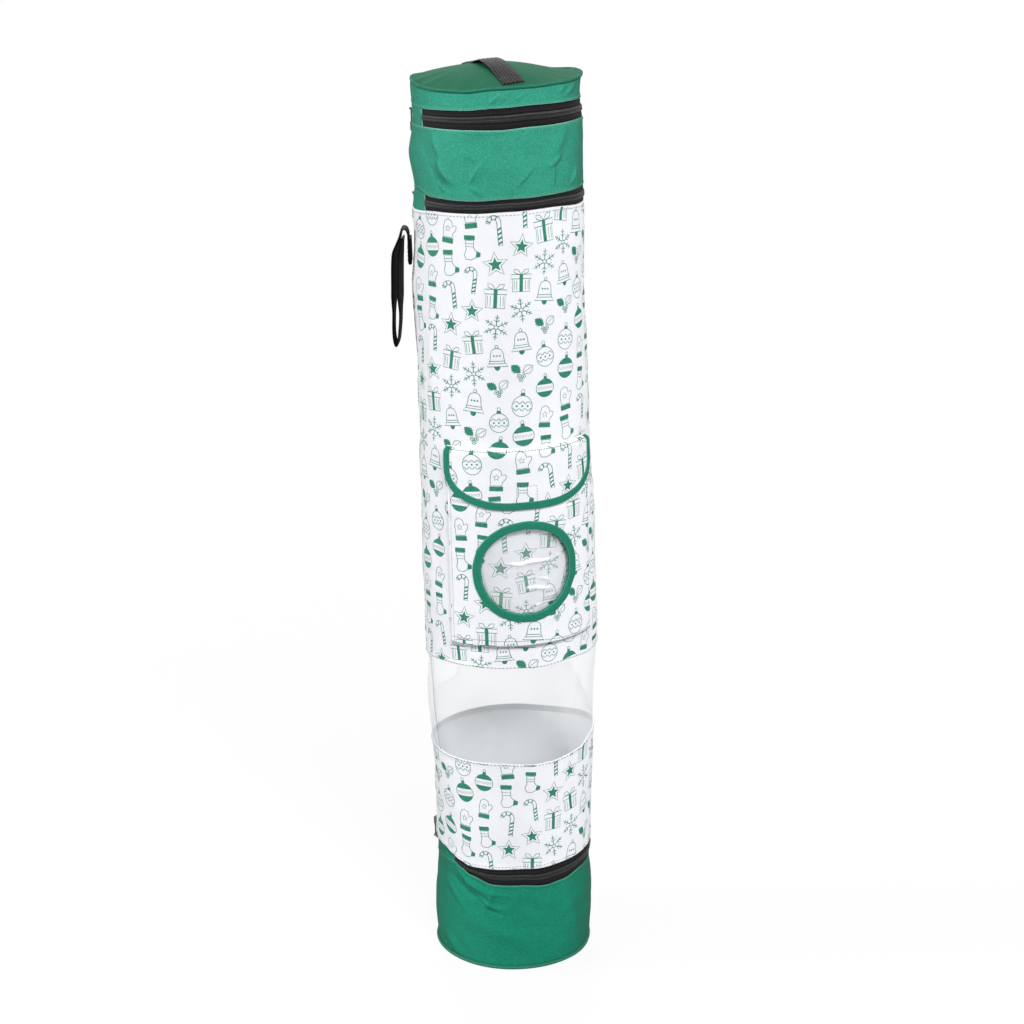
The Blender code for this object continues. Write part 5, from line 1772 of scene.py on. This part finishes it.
def make_stage():
    """A white floor: dim where only light falls on it, and glowing far from the organizer."""
    mesh = bpy.data.meshes.new("floor")
    half = FLOOR_HALF
    corners = [(-half, -half, 0), (half, -half, 0), (half, half, 0), (-half, half, 0)]
    mesh.from_pydata(corners, [], [(0, 1, 2, 3)])
    floor = add_thing("floor", mesh)
    material = bpy.data.materials.new("white_floor")
    material.use_nodes = True
    tree = material.node_tree
    tree.nodes.clear()
    dim, white = (add_node(tree, "BsdfDiffuse", {"Color": (shade, shade, shade, 1)})[0]
                  for shade in (FLOOR_SHADE, FLOOR_WHITE))
    glow = add_node(tree, "Emission", {"Color": (1, 1, 1, 1)})[0]
    place = add_node(tree, "TexCoord")["Object"]
    distance = add_node(tree, "VectorMath", {0: place}, operation="LENGTH")["Value"]
    share = add_node(tree, "MapRange", {0: distance, 1: 0.5, 2: 1.6, 3: FLOOR_GLOW, 4: 1.0})[0]
    shadowed = add_node(tree, "MixShader", {0: share, 1: white, 2: glow})[0]
    mix = add_node(tree, "MixShader", {0: seen_directly(tree), 1: dim, 2: shadowed})[0]
    add_node(tree, "OutputMaterial", {0: mix})
    mesh.materials.append(material)


def make_world():
    world = bpy.data.worlds.new("studio")
    bpy.context.scene.world = world
    world.use_nodes = True
    tree = world.node_tree
    strength = add_node(tree, "MapRange", {0: seen_directly(tree), 3: WORLD_LIGHT, 4: 1.0})[0]
    connect(tree, tree.nodes["Background"], {"Color": (1, 1, 1, 1), "Strength": strength})


def make_lights():
    for name, place, size, power in LAMPS:
        lamp = bpy.data.lights.new(name, "AREA")
        lamp.shape = "RECTANGLE"
        lamp.size, lamp.size_y = size
        lamp.energy = power
        thing = add_thing(name, lamp)
        thing.location = place
        thing.rotation_euler = (Vector(LAMP_TARGET) - Vector(place)).to_track_quat("-Z", "Y").to_euler()


def make_camera():
    right, up, ahead = camera_axes()
    camera = bpy.data.cameras.new("photo_camera")
    camera.sensor_fit = "HORIZONTAL"
    camera.sensor_width = SENSOR
    camera.lens = FOCAL_PIXELS * SENSOR / IMAGE_SIZE
    camera.clip_end = 200
    thing = add_thing("photo_camera", camera)
    turn = Matrix([Vector(axis) for axis in (right, up, -ahead)]).transposed().to_4x4()
    thing.matrix_world = Matrix.Translation(CAMERA_PLACE) @ turn
    bpy.context.scene.camera = thing


def main():
    bpy.context.scene.view_settings.view_transform = "Standard"
    make_camera()
    make_world()
    make_lights()
    make_stage()
    make_cup()
    make_tube()
    make_compartment()
    make_zips()
    make_lid()
    make_pocket()
    make_flap()
    make_carry_strap()


main()
